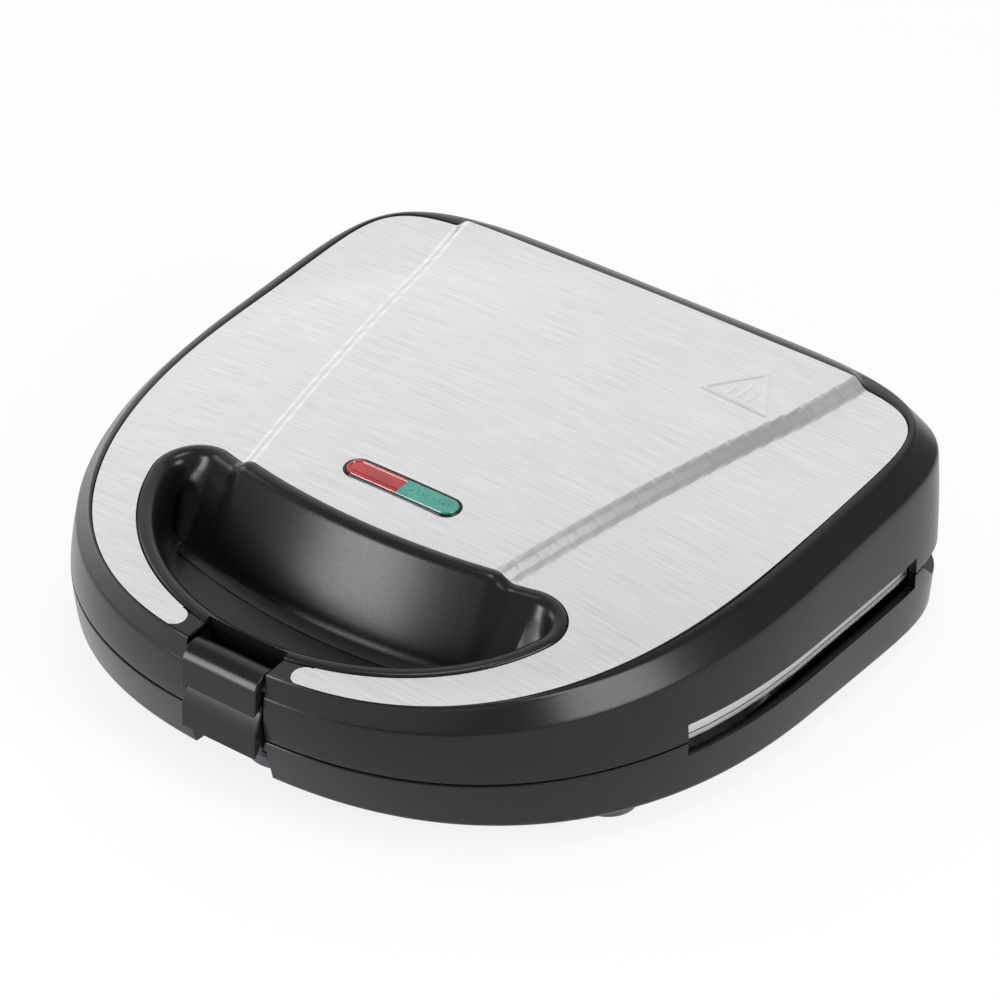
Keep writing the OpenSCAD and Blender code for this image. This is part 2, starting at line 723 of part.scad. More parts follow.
// Screw that points up, its head at z = 0
module screw(length) {
    cylinder(r = head_r, h = head_h);
    cylinder(r = screw_r, h = length);
}
module lower_plate_screws() color(steel) for (p = plate_screws)
    translate([p[0], p[1], edge_z(p[1]) + 0.2])
        screw(lower_back_z + lower_pocket - 3 - edge_z(p[1]));
module upper_plate_screws() color(steel) for (p = plate_screws)
    translate([p[0], p[1], upper_back_z + 6 + head_h]) mirror([0, 0, 1])
        screw(6 + head_h + upper_pocket - 5);
module lower_panel_screws() color(steel) for (p = panel_screws)
    translate([p[0], p[1], edge_z(p[1]) + 0.2]) screw(base_top - 1 - edge_z(p[1]));
module upper_panel_screws() color(steel) for (p = panel_screws)
    translate([p[0], p[1], lid_low + 0.2]) screw(panel_screw_l);

module terminal_block() color(ceramic) on_bottom() difference() {
    translate([inlet_x - 16, terminal_y, floor_t]) cube([22, terminal_l, 7]);
    for (x = [-11, 1]) translate([inlet_x + x, terminal_mid, floor_t + 2])
        cylinder(r = 1.6, h = big);
}

module cord_inlet_bush() color(rubber) {
    translate([inlet_x, inlet_y, inlet_z]) rotate([-90, 0, 0]) difference() {
        union() {
            cylinder(r = inlet_wall_r, h = inlet_l);
            translate([0, 0, inlet_l - 3.6]) cylinder(r = inlet_wall_r + 0.9, h = 3.6);
        }
        translate([0, 0, -1]) cylinder(r = inlet_r, h = inlet_l + 2);
    }
}

module foot(f) color(rubber) {
    translate([f[0], f[1], 0]) cylinder(r1 = foot_r - 1.2, r2 = foot_r, h = f[2]);
    translate([f[0], f[1], f[2] - 0.1]) cylinder(r = spigot_r - 0.02, h = spigot_l + 0.1);
}
module foot_front() foot(foot_places[0]);
module foot_left_front() foot(foot_places[1]);
module foot_right_front() foot(foot_places[2]);
module foot_left_rear() foot(foot_places[3]);
module foot_right_rear() foot(foot_places[4]);

module hinge_pin_right() color(steel) rod_x(ear_in - 1, ear_out + 1, hinge_y, hinge_z, hinge_pin_r);
module hinge_pin_left() mirror([1, 0, 0]) hinge_pin_right();
module hinge_sleeve() color("ivory")
    rod_x(-sleeve_x - sleeve_clip_t - 3, sleeve_x + sleeve_clip_t + 3, hinge_y, hinge_z, sleeve_r);

// Round lead along straight runs with ball joints at the corners
module lead(points, r) {
    for (i = [0:len(points) - 2]) {
        d = points[i + 1] - points[i];
        translate(points[i]) rotate([0, acos(d[2] / norm(d)), atan2(d[1], d[0])])
            cylinder(r = r, h = norm(d));
    }
    for (i = [1:1:len(points) - 2]) translate(points[i]) sphere(r = r * 1.1);
}
module base_leads() color("ivory") {
    z = floor_z(terminal_mid) + 4.2;
    x = -sleeve_x - sleeve_clip_t - 3 - 1.1;
    lead([[inlet_x + 6, terminal_mid, z], [x, terminal_mid, z], [x, hinge_y - ear_r - 3, z],
        [x, hinge_y - ear_r - 3, hinge_z], [x, hinge_y - 1.2, hinge_z]], 1.1);
}
lid_lead_x = sleeve_x + sleeve_clip_t + 3 + 1.1;
module lid_leads() color("ivory") {
    z = upper_back_z + 6.4 + 1.1;
    x = lid_lead_x;
    lead([[x, hinge_y - 1.2, hinge_z], [x, hinge_y - ear_r - 3, hinge_z],
        [x, hinge_y - ear_r - 3, hinge_z + 7], [x, plate_rear - 3, hinge_z + 7],
        [x, plate_rear - 3, z], [x, 22, z]], 1.1);
}

module thermostat() color(ceramic) translate([30, 22, upper_back_z]) {
    cylinder(r = 8, h = 1.5);
    translate([0, 0, 1]) cylinder(r = 6.4, h = 5.4);
}
module thermal_fuse() color("wheat") rod_x(-38, -24, 22, upper_back_z + 2, 2);

module latch_pin() color(steel)
    rod_x(-pocket_hw - pocket_wall + 1, pocket_hw + pocket_wall - 1, latch_y, latch_z, latch_pin_r);

module latch_clip() color(black) difference() {
    union() {
        rod_x(-latch_w / 2, latch_w / 2, latch_y, latch_z, curl_r);
        translate([-latch_w / 2, latch_y - curl_r, latch_low])
            cube([latch_w, latch_t, latch_z - latch_low]);
        translate([-latch_w / 2, latch_y - curl_r, latch_low])
            cube([latch_w, hook_reach - latch_y + curl_r, 2.4]);
    }
    rod_x(-latch_w, latch_w, latch_y, latch_z, latch_pin_r + run_fit);
}

lower_housing();
lower_front_panel();
lower_cooking_plate();
lower_heating_element();
lower_element_clamp();
lower_clamp_screw();
lower_reflector();
lower_plate_screws();
lower_panel_screws();
terminal_block();
cord_inlet_bush();
base_leads();
foot_front();
foot_left_front();
foot_right_front();
foot_left_rear();
foot_right_rear();
hinge_pin_left();
hinge_pin_right();
hinge_sleeve();
upper_housing();
steel_top_cover();
upper_front_panel();
upper_cooking_plate();
upper_heating_element();
upper_element_clamp();
upper_clamp_screw();
upper_reflector();
upper_plate_screws();
upper_panel_screws();
thermostat();
thermal_fuse();
indicator_frame();
red_lens();
green_lens();
lamp_holder();
red_lamp();
green_lamp();
lid_leads();
latch_pin();
latch_clip();
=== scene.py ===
"""Dresses the packed sandwich maker: casing shells, steel cover, grip well, latch, lights, feet."""
import math

import bmesh
import bpy
from mathutils import Matrix, Vector


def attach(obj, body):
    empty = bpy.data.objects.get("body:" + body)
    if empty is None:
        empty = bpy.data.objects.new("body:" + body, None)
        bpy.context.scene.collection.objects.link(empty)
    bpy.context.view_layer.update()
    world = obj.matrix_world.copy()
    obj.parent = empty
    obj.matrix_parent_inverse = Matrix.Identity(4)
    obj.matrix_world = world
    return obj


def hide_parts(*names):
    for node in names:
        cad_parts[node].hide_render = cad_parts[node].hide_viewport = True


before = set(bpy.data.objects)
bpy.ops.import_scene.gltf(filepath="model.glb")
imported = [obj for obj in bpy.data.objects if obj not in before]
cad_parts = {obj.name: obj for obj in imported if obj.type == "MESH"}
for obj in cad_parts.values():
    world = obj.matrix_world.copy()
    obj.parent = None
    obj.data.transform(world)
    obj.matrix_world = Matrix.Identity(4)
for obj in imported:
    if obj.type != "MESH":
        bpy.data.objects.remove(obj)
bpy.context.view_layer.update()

# Sizes in millimetres, in the part's own frame: origin on the table, front towards -Y
MM = 0.001
HALF_W = 114.5
BODY_FRONT = 112.2
BODY_REAR = 113.0
PARTING_Z = 25.0
PARTING_GAP = 0.4
WALL = 2.4
FLOOR_T = 2.2
BOTTOM_Z = 6.4
BOTTOM_SLOPE = math.radians(1.4)
LID_Y = -3.0
LID_Z = 55.8
LID_SLOPE = math.radians(4.2)
CHAMFER_H = 7.5
OUTLINE_MID = 22.5
LID_MID = 30.0
FRONT_CURVE = 2.4
REAR_CURVE = 6.5
LID_REAR_CURVE = 5.4
SEAM_REAR_CURVE = 8.0
STEEL_T = 0.8
DECK_T = 2.2
CROWN_R = 870.0
CROWN_H = 6.5
PANEL_H = 3.2
PANEL_FRONT_W = 46.4
PANEL_REAR_W = 74.5
PANEL_Y0 = -41.0
PANEL_Y1 = 102.5
STEP_HALF = 1.9
STEP_SOFT = 0.9
WELL_W = 74.5
WELL_L = 64.5
WELL_Y = 38.0
WELL_DEPTH = 18.5
WELL_CORNER = 13.0
WELL_WALL = 2.2
RIM_W = 6.0
BULGE_R = 196.0
BULGE_Y = 150.0
PLATE_MARGIN = 3.1
PLATE_FRONT = 36.5
PLATE_REAR = 77.0
SLOT_X = 103.0
SLOT_FRONT = 37.0
SLOT_REAR = 76.0
SLOT_UP = 5.9
SLOT_DOWN = 4.7
HINGE_Y = 103.5
HINGE_Z = 27.0
EAR_R = 5.5
EAR_X = 70.0
EAR_T = 6.0
LID_EAR_T = 8.8
EAR_GAP = 0.6
SLEEVE_X = 20.0
SLEEVE_CLIP_T = 6.0
LATCH_HALF = 13.2
POCKET_HALF = 14.1
LATCH_Y = -110.0
LATCH_Z = 41.8
LATCH_LOW = 19.5
LATCH_T = 3.0
CURL_R = 5.5
CATCH_Z = 22.5
POCKET_REAR = -101.9
POCKET_WALL = 2.6
RECESS_REAR = -101.0
RECESS_WALL_REAR = -98.4
RECESS_WALL_LOW = 10.5
# Round end of the sheet beside the latch
TIP_X = 23.4
TIP_Y = -103.6
TIP_R = 3.9
LAMP_L = 41.0
LAMP_W = 9.0
LAMP_Y = 27.0
BULKHEAD_Y = 79.0
BULKHEAD_T = 2.0
INLET_X = -40.0
INLET_Z = 10.0
OUTLINE_POINTS = 320
BIG = 300.0

base_top = PARTING_Z - PARTING_GAP / 2
lid_low = PARTING_Z + PARTING_GAP / 2


# Places
def on_lid(x, y, z):
    """A point given in the plane of the steel cover's edge, in the part's frame."""
    return Vector((x, LID_Y + y * math.cos(LID_SLOPE) - z * math.sin(LID_SLOPE),
                   LID_Z + y * math.sin(LID_SLOPE) + z * math.cos(LID_SLOPE)))


def edge_z(y):
    """Height of the base's bottom edge at a place along Y."""
    return BOTTOM_Z - y * math.tan(BOTTOM_SLOPE)


# Outlines
def signed_power(value, power):
    return math.copysign(abs(value) ** power, value)


def outline_point(turn, half_w, front, rear, mid, front_curve, rear_curve):
    c = math.cos(turn)
    s = math.sin(turn)
    curve = front_curve if s < 0 else rear_curve
    depth = front + mid if s < 0 else rear - mid
    return half_w * signed_power(c, 2 / curve), mid + depth * signed_power(s, 2 / curve)


def parting_plan(turn, inset=0.0):
    return outline_point(turn, HALF_W - inset, BODY_FRONT - inset, BODY_REAR - inset,
                         OUTLINE_MID, FRONT_CURVE, REAR_CURVE)


def bottom_plan(turn, inset=0.0):
    return outline_point(turn, HALF_W + 0.6 - inset, BODY_FRONT - 3.7 - inset,
                         BODY_REAR - 2.5 - inset, OUTLINE_MID, FRONT_CURVE, REAR_CURVE)


def wall_plan(turn, inset=0.0):
    return outline_point(turn, HALF_W - 2.7 - inset, BODY_FRONT - 1.2 - inset,
                         BODY_REAR + 3 - inset, LID_MID, FRONT_CURVE, LID_REAR_CURVE + 0.6)


def bezel_plan(turn, inset=0.0):
    return outline_point(turn, HALF_W - 8.0 - inset, BODY_FRONT - 2.4 - inset,
                         BODY_REAR + 1 - inset, LID_MID, FRONT_CURVE, LID_REAR_CURVE)


def seam_plan(turn, inset=0.0):
    return outline_point(turn, HALF_W - 12.5 - inset, BODY_FRONT - 3.6 - inset,
                         BODY_REAR - 8.0 - inset, LID_MID, FRONT_CURVE + 0.1, SEAM_REAR_CURVE)


def plate_side(y):
    """Half width of the cooking plates, whose sides follow the casing's outline."""
    ahead = y < OUTLINE_MID
    curve = FRONT_CURVE if ahead else REAR_CURVE
    depth = BODY_FRONT + OUTLINE_MID if ahead else BODY_REAR - OUTLINE_MID
    share = abs(y - OUTLINE_MID) / (depth - PLATE_MARGIN)
    return (HALF_W - PLATE_MARGIN) * (1 - share ** curve) ** (1 / curve)


def even_turns(count):
    """Angles that lie evenly along the casing's outline, from the middle of the front."""
    fine = 7200
    turns = [-math.pi / 2 + math.tau * i / fine for i in range(fine + 1)]
    points = [Vector(parting_plan(turn)) for turn in turns]
    length = [0.0]
    for a, b in zip(points, points[1:]):
        length.append(length[-1] + (b - a).length)
    picked = []
    i = 0
    for n in range(count):
        goal = length[-1] * n / count
        while length[i + 1] <= goal:
            i += 1
        picked.append(turns[i] + (turns[i + 1] - turns[i]) * (goal - length[i])
                      / (length[i + 1] - length[i]))
    return picked


TURNS = even_turns(OUTLINE_POINTS)


def level(plan, inset, height):
    """One loop of the casing: height is a number over the table, or a function of (x, y)."""
    loop = []
    for turn in TURNS:
        x, y = plan(turn, inset)
        loop.append(Vector((x, y, height(x, y) if callable(height) else height)))
    return loop


def lid_level(plan, inset, height, lifted=False):
    """One loop of the lid's top, given in the plane of the steel cover's edge."""
    loop = []
    for turn in TURNS:
        x, y = plan(turn, inset)
        loop.append(on_lid(x, y, height + (band_lift(x, y) if lifted else 0.0)))
    return loop


def between(loop_a, loop_b, share, bulge=0.0):
    """A loop part of the way from one to another, drawn outwards by a little."""
    loop = []
    for a, b in zip(loop_a, loop_b):
        point = a.lerp(b, share)
        away = Vector((point.x, point.y - OUTLINE_MID, 0)).normalized()
        loop.append(point + away * bulge)
    return loop


# The steel cover's top
def soft_max(a, b, width):
    gap = max(width - abs(a - b), 0.0) / width
    return max(a, b) + gap * gap * width / 4


def soft_ramp(value, half, soft):
    """1 below -half, 0 above half, straight between, with rounded folds."""
    if value <= -half - soft:
        return 1.0
    if value >= half + soft:
        return 0.0
    if value < -half + soft:
        return 1.0 - (value + half + soft) ** 2 / (8 * half * soft)
    if value > half - soft:
        return (half + soft - value) ** 2 / (8 * half * soft)
    return 0.5 - value / (2 * half)


def panel_edge(y):
    return PANEL_FRONT_W + (PANEL_REAR_W - PANEL_FRONT_W) * (y - PANEL_Y0) / (PANEL_Y1 - PANEL_Y0)


def panel_share(x, y):
    return soft_ramp(abs(x) - panel_edge(y), STEP_HALF, STEP_SOFT) if y > -75 else 0.0


def crown_height(x, y):
    return soft_max(CROWN_H - (x * x + y * y) / (2 * CROWN_R), 0.0, 1.0)


def cover_height(x, y):
    return crown_height(x, y) + PANEL_H * panel_share(x, y)


def band_lift(x, y):
    """Rise of the black band where the raised panel meets it at the rear."""
    return (PANEL_H - 0.3) * panel_share(x, y) if y > 60 else 0.0


# Grip well
def inside_ellipse(x, y):
    return (x / WELL_W) ** 2 + ((y + WELL_Y) / WELL_L) ** 2 < 1


def ellipse_point(turn):
    return Vector((WELL_W * math.cos(turn), -WELL_Y + WELL_L * math.sin(turn)))


def ellipse_out(turn):
    return Vector((math.cos(turn) / WELL_W, math.sin(turn) / WELL_L)).normalized()


def nearest_on_ellipse(point):
    turns = [math.radians(-90 + 0.1 * i) for i in range(1400)]
    best = min(turns, key=lambda turn: (ellipse_point(turn) - point).length)
    return best, (ellipse_point(best) - point).length


def well_half():
    """Right half of the well's outline from the rear to the front, as points and outward normals."""
    reach = BULGE_R + WELL_CORNER
    low, high = 0.1, 0.36
    for _ in range(24):
        turn = (low + high) / 2
        centre = Vector((reach * math.sin(turn), BULGE_Y - reach * math.cos(turn)))
        edge, distance = nearest_on_ellipse(centre)
        if inside_ellipse(*centre) and distance > WELL_CORNER:
            low = turn
        else:
            high = turn
    half = []
    for i in range(44):
        a = turn * i / 44
        half.append((Vector((BULGE_R * math.sin(a), BULGE_Y - BULGE_R * math.cos(a))),
                     Vector((-math.sin(a), math.cos(a)))))
    start = math.pi / 2 + turn
    out = ellipse_out(edge)
    end = math.atan2(out.y, out.x)
    for i in range(30):
        a = start + (end - start) * i / 30
        away = Vector((math.cos(a), math.sin(a)))
        half.append((centre + away * WELL_CORNER, away))
    for i in range(63):
        a = edge + (-math.pi / 2 - edge) * i / 62
        half.append((ellipse_point(a), ellipse_out(a)))
    return half


def well_outline():
    right = well_half()
    left = [(Vector((-p.x, p.y)), Vector((-n.x, n.y))) for p, n in reversed(right[1:-1])]
    return right + left


WELL = well_outline()


def well_level(grow, height, sunk=0.0, follow=True):
    """One loop of the well: larger by grow, its rear pushed forwards by sunk."""
    loop = []
    for point, out in WELL:
        x = point.x + out.x * grow
        y = point.y + out.y * grow
        z = height + (cover_height(point.x, point.y) if follow else 0.0)
        y -= sunk * max(out.y, 0.0) ** 1.2
        loop.append(on_lid(x, y, z))
    return loop


# Mesh tools
def lofted(loops, closed=False):
    """A shell drawn out from loop to loop, capped at both ends or joined into a ring."""
    bm = bmesh.new()
    number = bm.verts.layers.int.new("number")
    start = bmesh.ops.create_circle(bm, segments=len(loops[0]), radius=1)["verts"]
    for i, vert in enumerate(sorted(start, key=lambda v: math.atan2(v.co.y, v.co.x))):
        vert[number] = i
        vert.co = loops[0][i]
    first = list(bm.edges)
    edges = first
    for loop in loops[1:]:
        made = bmesh.ops.extrude_edge_only(bm, edges=edges)["geom"]
        verts = {g for g in made if isinstance(g, bmesh.types.BMVert)}
        for vert in verts:
            vert.co = loop[vert[number]]
        edges = [g for g in made if isinstance(g, bmesh.types.BMEdge)
                 and g.verts[0] in verts and g.verts[1] in verts]
    if closed:
        bmesh.ops.bridge_loops(bm, edges=first + edges)
    else:
        bmesh.ops.contextual_create(bm, geom=first)
        bmesh.ops.contextual_create(bm, geom=edges)
    bmesh.ops.recalc_face_normals(bm, faces=bm.faces)
    return bm


def block(x0, x1, y0, y1, z0, z1, round_by=0.0):
    bm = bmesh.new()
    bmesh.ops.create_cube(bm, size=1)
    bmesh.ops.scale(bm, vec=(x1 - x0, y1 - y0, z1 - z0), verts=bm.verts)
    bmesh.ops.translate(bm, vec=((x0 + x1) / 2, (y0 + y1) / 2, (z0 + z1) / 2), verts=bm.verts)
    if round_by:
        bmesh.ops.bevel(bm, geom=bm.edges, offset=round_by, segments=3, profile=0.5,
                        affect="EDGES", material=-1)
    return bm


def side_profile(points, x0, x1, round_by=0.0, segments=3, sharp=20):
    """A profile of (y, z) points drawn out along X."""
    bm = bmesh.new()
    verts = [bm.verts.new((x0, y, z)) for y, z in points]
    face = bmesh.ops.contextual_create(bm, geom=verts)["faces"]
    made = bmesh.ops.extrude_face_region(bm, geom=face)["geom"]
    moved = [g for g in made if isinstance(g, bmesh.types.BMVert)]
    bmesh.ops.translate(bm, vec=(x1 - x0, 0, 0), verts=moved)
    bmesh.ops.recalc_face_normals(bm, faces=bm.faces)
    if round_by:
        edges = [e for e in bm.edges if e.calc_face_angle(0) > math.radians(sharp)]
        bmesh.ops.bevel(bm, geom=edges, offset=round_by, segments=segments, profile=0.5,
                        affect="EDGES", material=-1)
    return bm


def turned(profile, turn_to=None, steps=64):
    """A closed profile of (radius, height) points spun round Z."""
    bm = bmesh.new()
    verts = [bm.verts.new((r, 0, z)) for r, z in profile]
    edges = [bm.edges.new(pair) for pair in zip(verts, verts[1:])]
    bmesh.ops.spin(bm, geom=verts + edges, cent=(0, 0, 0), axis=(0, 0, 1), dvec=(0, 0, 0),
                   angle=math.tau, steps=steps, use_merge=True)
    bmesh.ops.remove_doubles(bm, verts=bm.verts, dist=1e-4)
    bmesh.ops.recalc_face_normals(bm, faces=bm.faces)
    if turn_to:
        bmesh.ops.transform(bm, matrix=turn_to, verts=bm.verts)
    return bm


def rod(x0, x1, y, z, r, round_by=0.4):
    """A rod along X with rounded ends."""
    length = x1 - x0
    profile = [(0, 0), (r - round_by, 0), (r, round_by), (r, length - round_by),
               (r - round_by, length), (0, length)]
    place = Matrix.Translation((x0, y, z)) @ Matrix.Rotation(math.pi / 2, 4, "Y")
    return turned(profile, place, 48)


def joined(*parts):
    """All the given shapes in one mesh."""
    whole = bmesh.new()
    for bm in parts:
        mesh = bpy.data.meshes.new("part")
        bm.to_mesh(mesh)
        bm.free()
        whole.from_mesh(mesh)
        bpy.data.meshes.remove(mesh)
    return whole


def loose_object(bm):
    mesh = bpy.data.meshes.new("loose")
    bm.to_mesh(mesh)
    bm.free()
    obj = bpy.data.objects.new("loose", mesh)
    bpy.context.scene.collection.objects.link(obj)
    return obj


def carve(bm, cutters, operation="DIFFERENCE"):
    """Cuts shapes out of a shape, or keeps what they share, and returns the result."""
    body = loose_object(bm)
    tools = []
    for cutter in cutters:
        tool = loose_object(cutter)
        tools.append(tool)
        cut = body.modifiers.new("cut", "BOOLEAN")
        cut.object = tool
        cut.operation = operation
        cut.solver = "EXACT"
    shaped = body.evaluated_get(bpy.context.evaluated_depsgraph_get())
    mesh = bpy.data.meshes.new_from_object(shaped)
    result = bmesh.new()
    result.from_mesh(mesh)
    bpy.data.meshes.remove(mesh)
    for obj in [body] + tools:
        old = obj.data
        bpy.data.objects.remove(obj)
        bpy.data.meshes.remove(old)
    return result


def finished(bm, name, body, material, replaces=(), sharp=28, more=()):
    """Makes a piece of a shape given in millimetres, smooth but for its sharp edges."""
    bmesh.ops.scale(bm, vec=(MM, MM, MM), verts=bm.verts)
    for face in bm.faces:
        face.smooth = True
    for edge in bm.edges:
        edge.smooth = edge.calc_face_angle(math.pi) < math.radians(sharp)
    mesh = bpy.data.meshes.new(name)
    bm.to_mesh(mesh)
    bm.free()
    obj = bpy.data.objects.new(name, mesh)
    bpy.context.scene.collection.objects.link(obj)
    mesh.materials.append(material)
    for extra in more:
        mesh.materials.append(extra)
    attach(obj, body)
    if replaces:
        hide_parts(*replaces)
    even = obj.modifiers.new("even shading", "WEIGHTED_NORMAL")
    even.keep_sharp = True
    return obj


def node_copy(node):
    """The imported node's mesh, merged, in millimetres."""
    bm = bmesh.new()
    bm.from_mesh(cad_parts[node].data)
    bmesh.ops.scale(bm, vec=(1 / MM, 1 / MM, 1 / MM), verts=bm.verts)
    bmesh.ops.remove_doubles(bm, verts=bm.verts, dist=1e-3)
    bmesh.ops.dissolve_limit(bm, angle_limit=math.radians(0.5), verts=bm.verts, edges=bm.edges)
    return bm


# Materials
def new_group(name, inputs, outputs):
    """A shader node group with number inputs; outputs are given as name and socket type."""
    group = bpy.data.node_groups.new(name, "ShaderNodeTree")
    for label, value in inputs:
        socket = group.interface.new_socket(label, in_out="INPUT", socket_type="NodeSocketFloat")
        socket.default_value = value
    for label, kind in outputs:
        group.interface.new_socket(label, in_out="OUTPUT", socket_type=kind)
    return group, group.nodes.new("NodeGroupInput"), group.nodes.new("NodeGroupOutput")


def grain_group():
    """Short straight scratches along X, and slow blotches, for brushed sheet."""
    group, given, out = new_group("straight grain", [("Fine", 3200.0), ("Coarse", 1200.0)],
                                  [("Grain", "NodeSocketFloat"), ("Blotch", "NodeSocketFloat")])
    nodes = group.nodes
    link = group.links.new
    place = nodes.new("ShaderNodeTexCoord")
    parts = []
    for label, along, detail in (("Fine", 75.0, 2.0), ("Coarse", 32.0, 3.0)):
        split = nodes.new("ShaderNodeSeparateXYZ")
        link(place.outputs["Object"], split.inputs[0])
        row = nodes.new("ShaderNodeCombineXYZ")
        for axis, factor in (("X", along), ("Y", None), ("Z", 0.0)):
            times = nodes.new("ShaderNodeMath")
            times.operation = "MULTIPLY"
            link(split.outputs[axis], times.inputs[0])
            if factor is None:
                link(given.outputs[label], times.inputs[1])
            else:
                times.inputs[1].default_value = factor
            link(times.outputs[0], row.inputs[axis])
        noise = nodes.new("ShaderNodeTexNoise")
        noise.inputs["Scale"].default_value = 1.0
        noise.inputs["Detail"].default_value = detail
        noise.inputs["Roughness"].default_value = 0.6
        link(row.outputs[0], noise.inputs["Vector"])
        parts.append(noise.outputs["Fac"])
    mix = nodes.new("ShaderNodeMath")
    mix.operation = "ADD"
    link(parts[0], mix.inputs[0])
    link(parts[1], mix.inputs[1])
    half = nodes.new("ShaderNodeMath")
    half.operation = "MULTIPLY"
    half.inputs[1].default_value = 0.5
    link(mix.outputs[0], half.inputs[0])
    link(half.outputs[0], out.inputs["Grain"])
    slow = nodes.new("ShaderNodeTexNoise")
    slow.inputs["Scale"].default_value = 14.0
    slow.inputs["Detail"].default_value = 2.0
    link(place.outputs["Object"], slow.inputs["Vector"])
    link(slow.outputs["Fac"], out.inputs["Blotch"])
    return group


def speckle_group():
    """Fine speckle and slow unevenness, for moulded, cast and rubber surfaces."""
    group, given, out = new_group("fine speckle", [("Scale", 1500.0), ("Slow scale", 25.0)],
                                  [("Speckle", "NodeSocketFloat"), ("Slow", "NodeSocketFloat")])
    place = group.nodes.new("ShaderNodeTexCoord")
    for label, name, detail in (("Scale", "Speckle", 2.0), ("Slow scale", "Slow", 3.0)):
        noise = group.nodes.new("ShaderNodeTexNoise")
        noise.inputs["Detail"].default_value = detail
        group.links.new(place.outputs["Object"], noise.inputs["Vector"])
        group.links.new(given.outputs[label], noise.inputs["Scale"])
        group.links.new(noise.outputs["Fac"], out.inputs[name])
    return group


GRAIN = grain_group()
SPECKLE = speckle_group()


def ramped(material, source, low, high, from_low=0.3, from_high=0.7):
    """Maps a 0 to 1 mask onto a range of numbers."""
    node = material.node_tree.nodes.new("ShaderNodeMapRange")
    node.inputs["From Min"].default_value = from_low
    node.inputs["From Max"].default_value = from_high
    node.inputs["To Min"].default_value = low
    node.inputs["To Max"].default_value = high
    material.node_tree.links.new(source, node.inputs["Value"])
    return node.outputs["Result"]


def two_tone(material, source, dark, light, from_low=0.3, from_high=0.7):
    node = material.node_tree.nodes.new("ShaderNodeMix")
    node.data_type = "RGBA"
    node.inputs["A"].default_value = (*dark, 1)
    node.inputs["B"].default_value = (*light, 1)
    share = ramped(material, source, 0.0, 1.0, from_low, from_high)
    material.node_tree.links.new(share, node.inputs["Factor"])
    return node.outputs["Result"]


def bumped(material, source, strength, distance):
    node = material.node_tree.nodes.new("ShaderNodeBump")
    node.inputs["Strength"].default_value = strength
    node.inputs["Distance"].default_value = distance
    material.node_tree.links.new(source, node.inputs["Height"])
    return node.outputs["Normal"]


def plain_material(name, group, values):
    material = bpy.data.materials.new(name)
    material.use_nodes = True
    shader = material.node_tree.nodes["Principled BSDF"]
    node = material.node_tree.nodes.new("ShaderNodeGroup")
    node.node_tree = group
    for label, value in values.items():
        node.inputs[label].default_value = value
    return material, shader, node, material.node_tree.links.new


def speckled(name, dark, light, rough_low, rough_high, bump=0.1, depth=0.00002, scale=1500.0,
             metallic=0.0, coat=0.0, ior=1.5):
    material, shader, mask, link = plain_material(name, SPECKLE, {"Scale": scale})
    link(two_tone(material, mask.outputs["Slow"], dark, light), shader.inputs["Base Color"])
    link(ramped(material, mask.outputs["Speckle"], rough_low, rough_high),
         shader.inputs["Roughness"])
    link(bumped(material, mask.outputs["Speckle"], bump, depth), shader.inputs["Normal"])
    shader.inputs["Metallic"].default_value = metallic
    shader.inputs["Coat Weight"].default_value = coat
    shader.inputs["Coat Roughness"].default_value = 0.12
    shader.inputs["IOR"].default_value = ior
    return material


def brushed(name, dark, light, rough_low, rough_high, bump=0.12, depth=0.00003):
    material, shader, mask, link = plain_material(name, GRAIN, {})
    link(two_tone(material, mask.outputs["Grain"], dark, light, 0.34, 0.66),
         shader.inputs["Base Color"])
    link(ramped(material, mask.outputs["Blotch"], rough_low, rough_high),
         shader.inputs["Roughness"])
    link(bumped(material, mask.outputs["Grain"], bump, depth), shader.inputs["Normal"])
    shader.inputs["Metallic"].default_value = 1.0
    return material


def clear_colour(name, dark, light, rough):
    material, shader, mask, link = plain_material(name, SPECKLE, {"Slow scale": 120.0})
    link(two_tone(material, mask.outputs["Slow"], dark, light), shader.inputs["Base Color"])
    link(ramped(material, mask.outputs["Speckle"], rough, rough + 0.05),
         shader.inputs["Roughness"])
    shader.inputs["Transmission Weight"].default_value = 0.5
    shader.inputs["IOR"].default_value = 1.49
    shader.inputs["Coat Weight"].default_value = 0.5
    return material


gloss_black = speckled("gloss black", (0.005, 0.005, 0.0055), (0.008, 0.008, 0.0085), 0.24, 0.28,
                       bump=0.02, ior=1.4)
steel_sheet = brushed("brushed steel", (0.64, 0.64, 0.65), (0.82, 0.82, 0.83), 0.32, 0.38)
cast_metal = speckled("cast metal", (0.56, 0.56, 0.57), (0.68, 0.68, 0.69), 0.34, 0.5,
                      bump=0.3, depth=0.00005, scale=900.0, metallic=1.0)
coating = speckled("dark coating", (0.025, 0.025, 0.027), (0.05, 0.05, 0.053), 0.38, 0.5,
                   bump=0.25, depth=0.00003, scale=2200.0)
heater_metal = speckled("heater metal", (0.2, 0.17, 0.15), (0.36, 0.33, 0.3), 0.45, 0.6,
                        bump=0.2, metallic=0.9)
bright_sheet = brushed("bright sheet", (0.68, 0.68, 0.67), (0.8, 0.8, 0.79), 0.22, 0.3)
plated = speckled("plated steel", (0.6, 0.6, 0.61), (0.7, 0.7, 0.71), 0.2, 0.3, metallic=1.0)
foot_rubber = speckled("foot rubber", (0.07, 0.075, 0.09), (0.095, 0.1, 0.12), 0.6, 0.72,
                       bump=0.3, depth=0.00005)
black_rubber = speckled("black rubber", (0.018, 0.018, 0.018), (0.028, 0.028, 0.028), 0.6, 0.72,
                        bump=0.3, depth=0.00005)
ceramic = speckled("ceramic", (0.74, 0.71, 0.64), (0.84, 0.82, 0.76), 0.5, 0.62, bump=0.2)
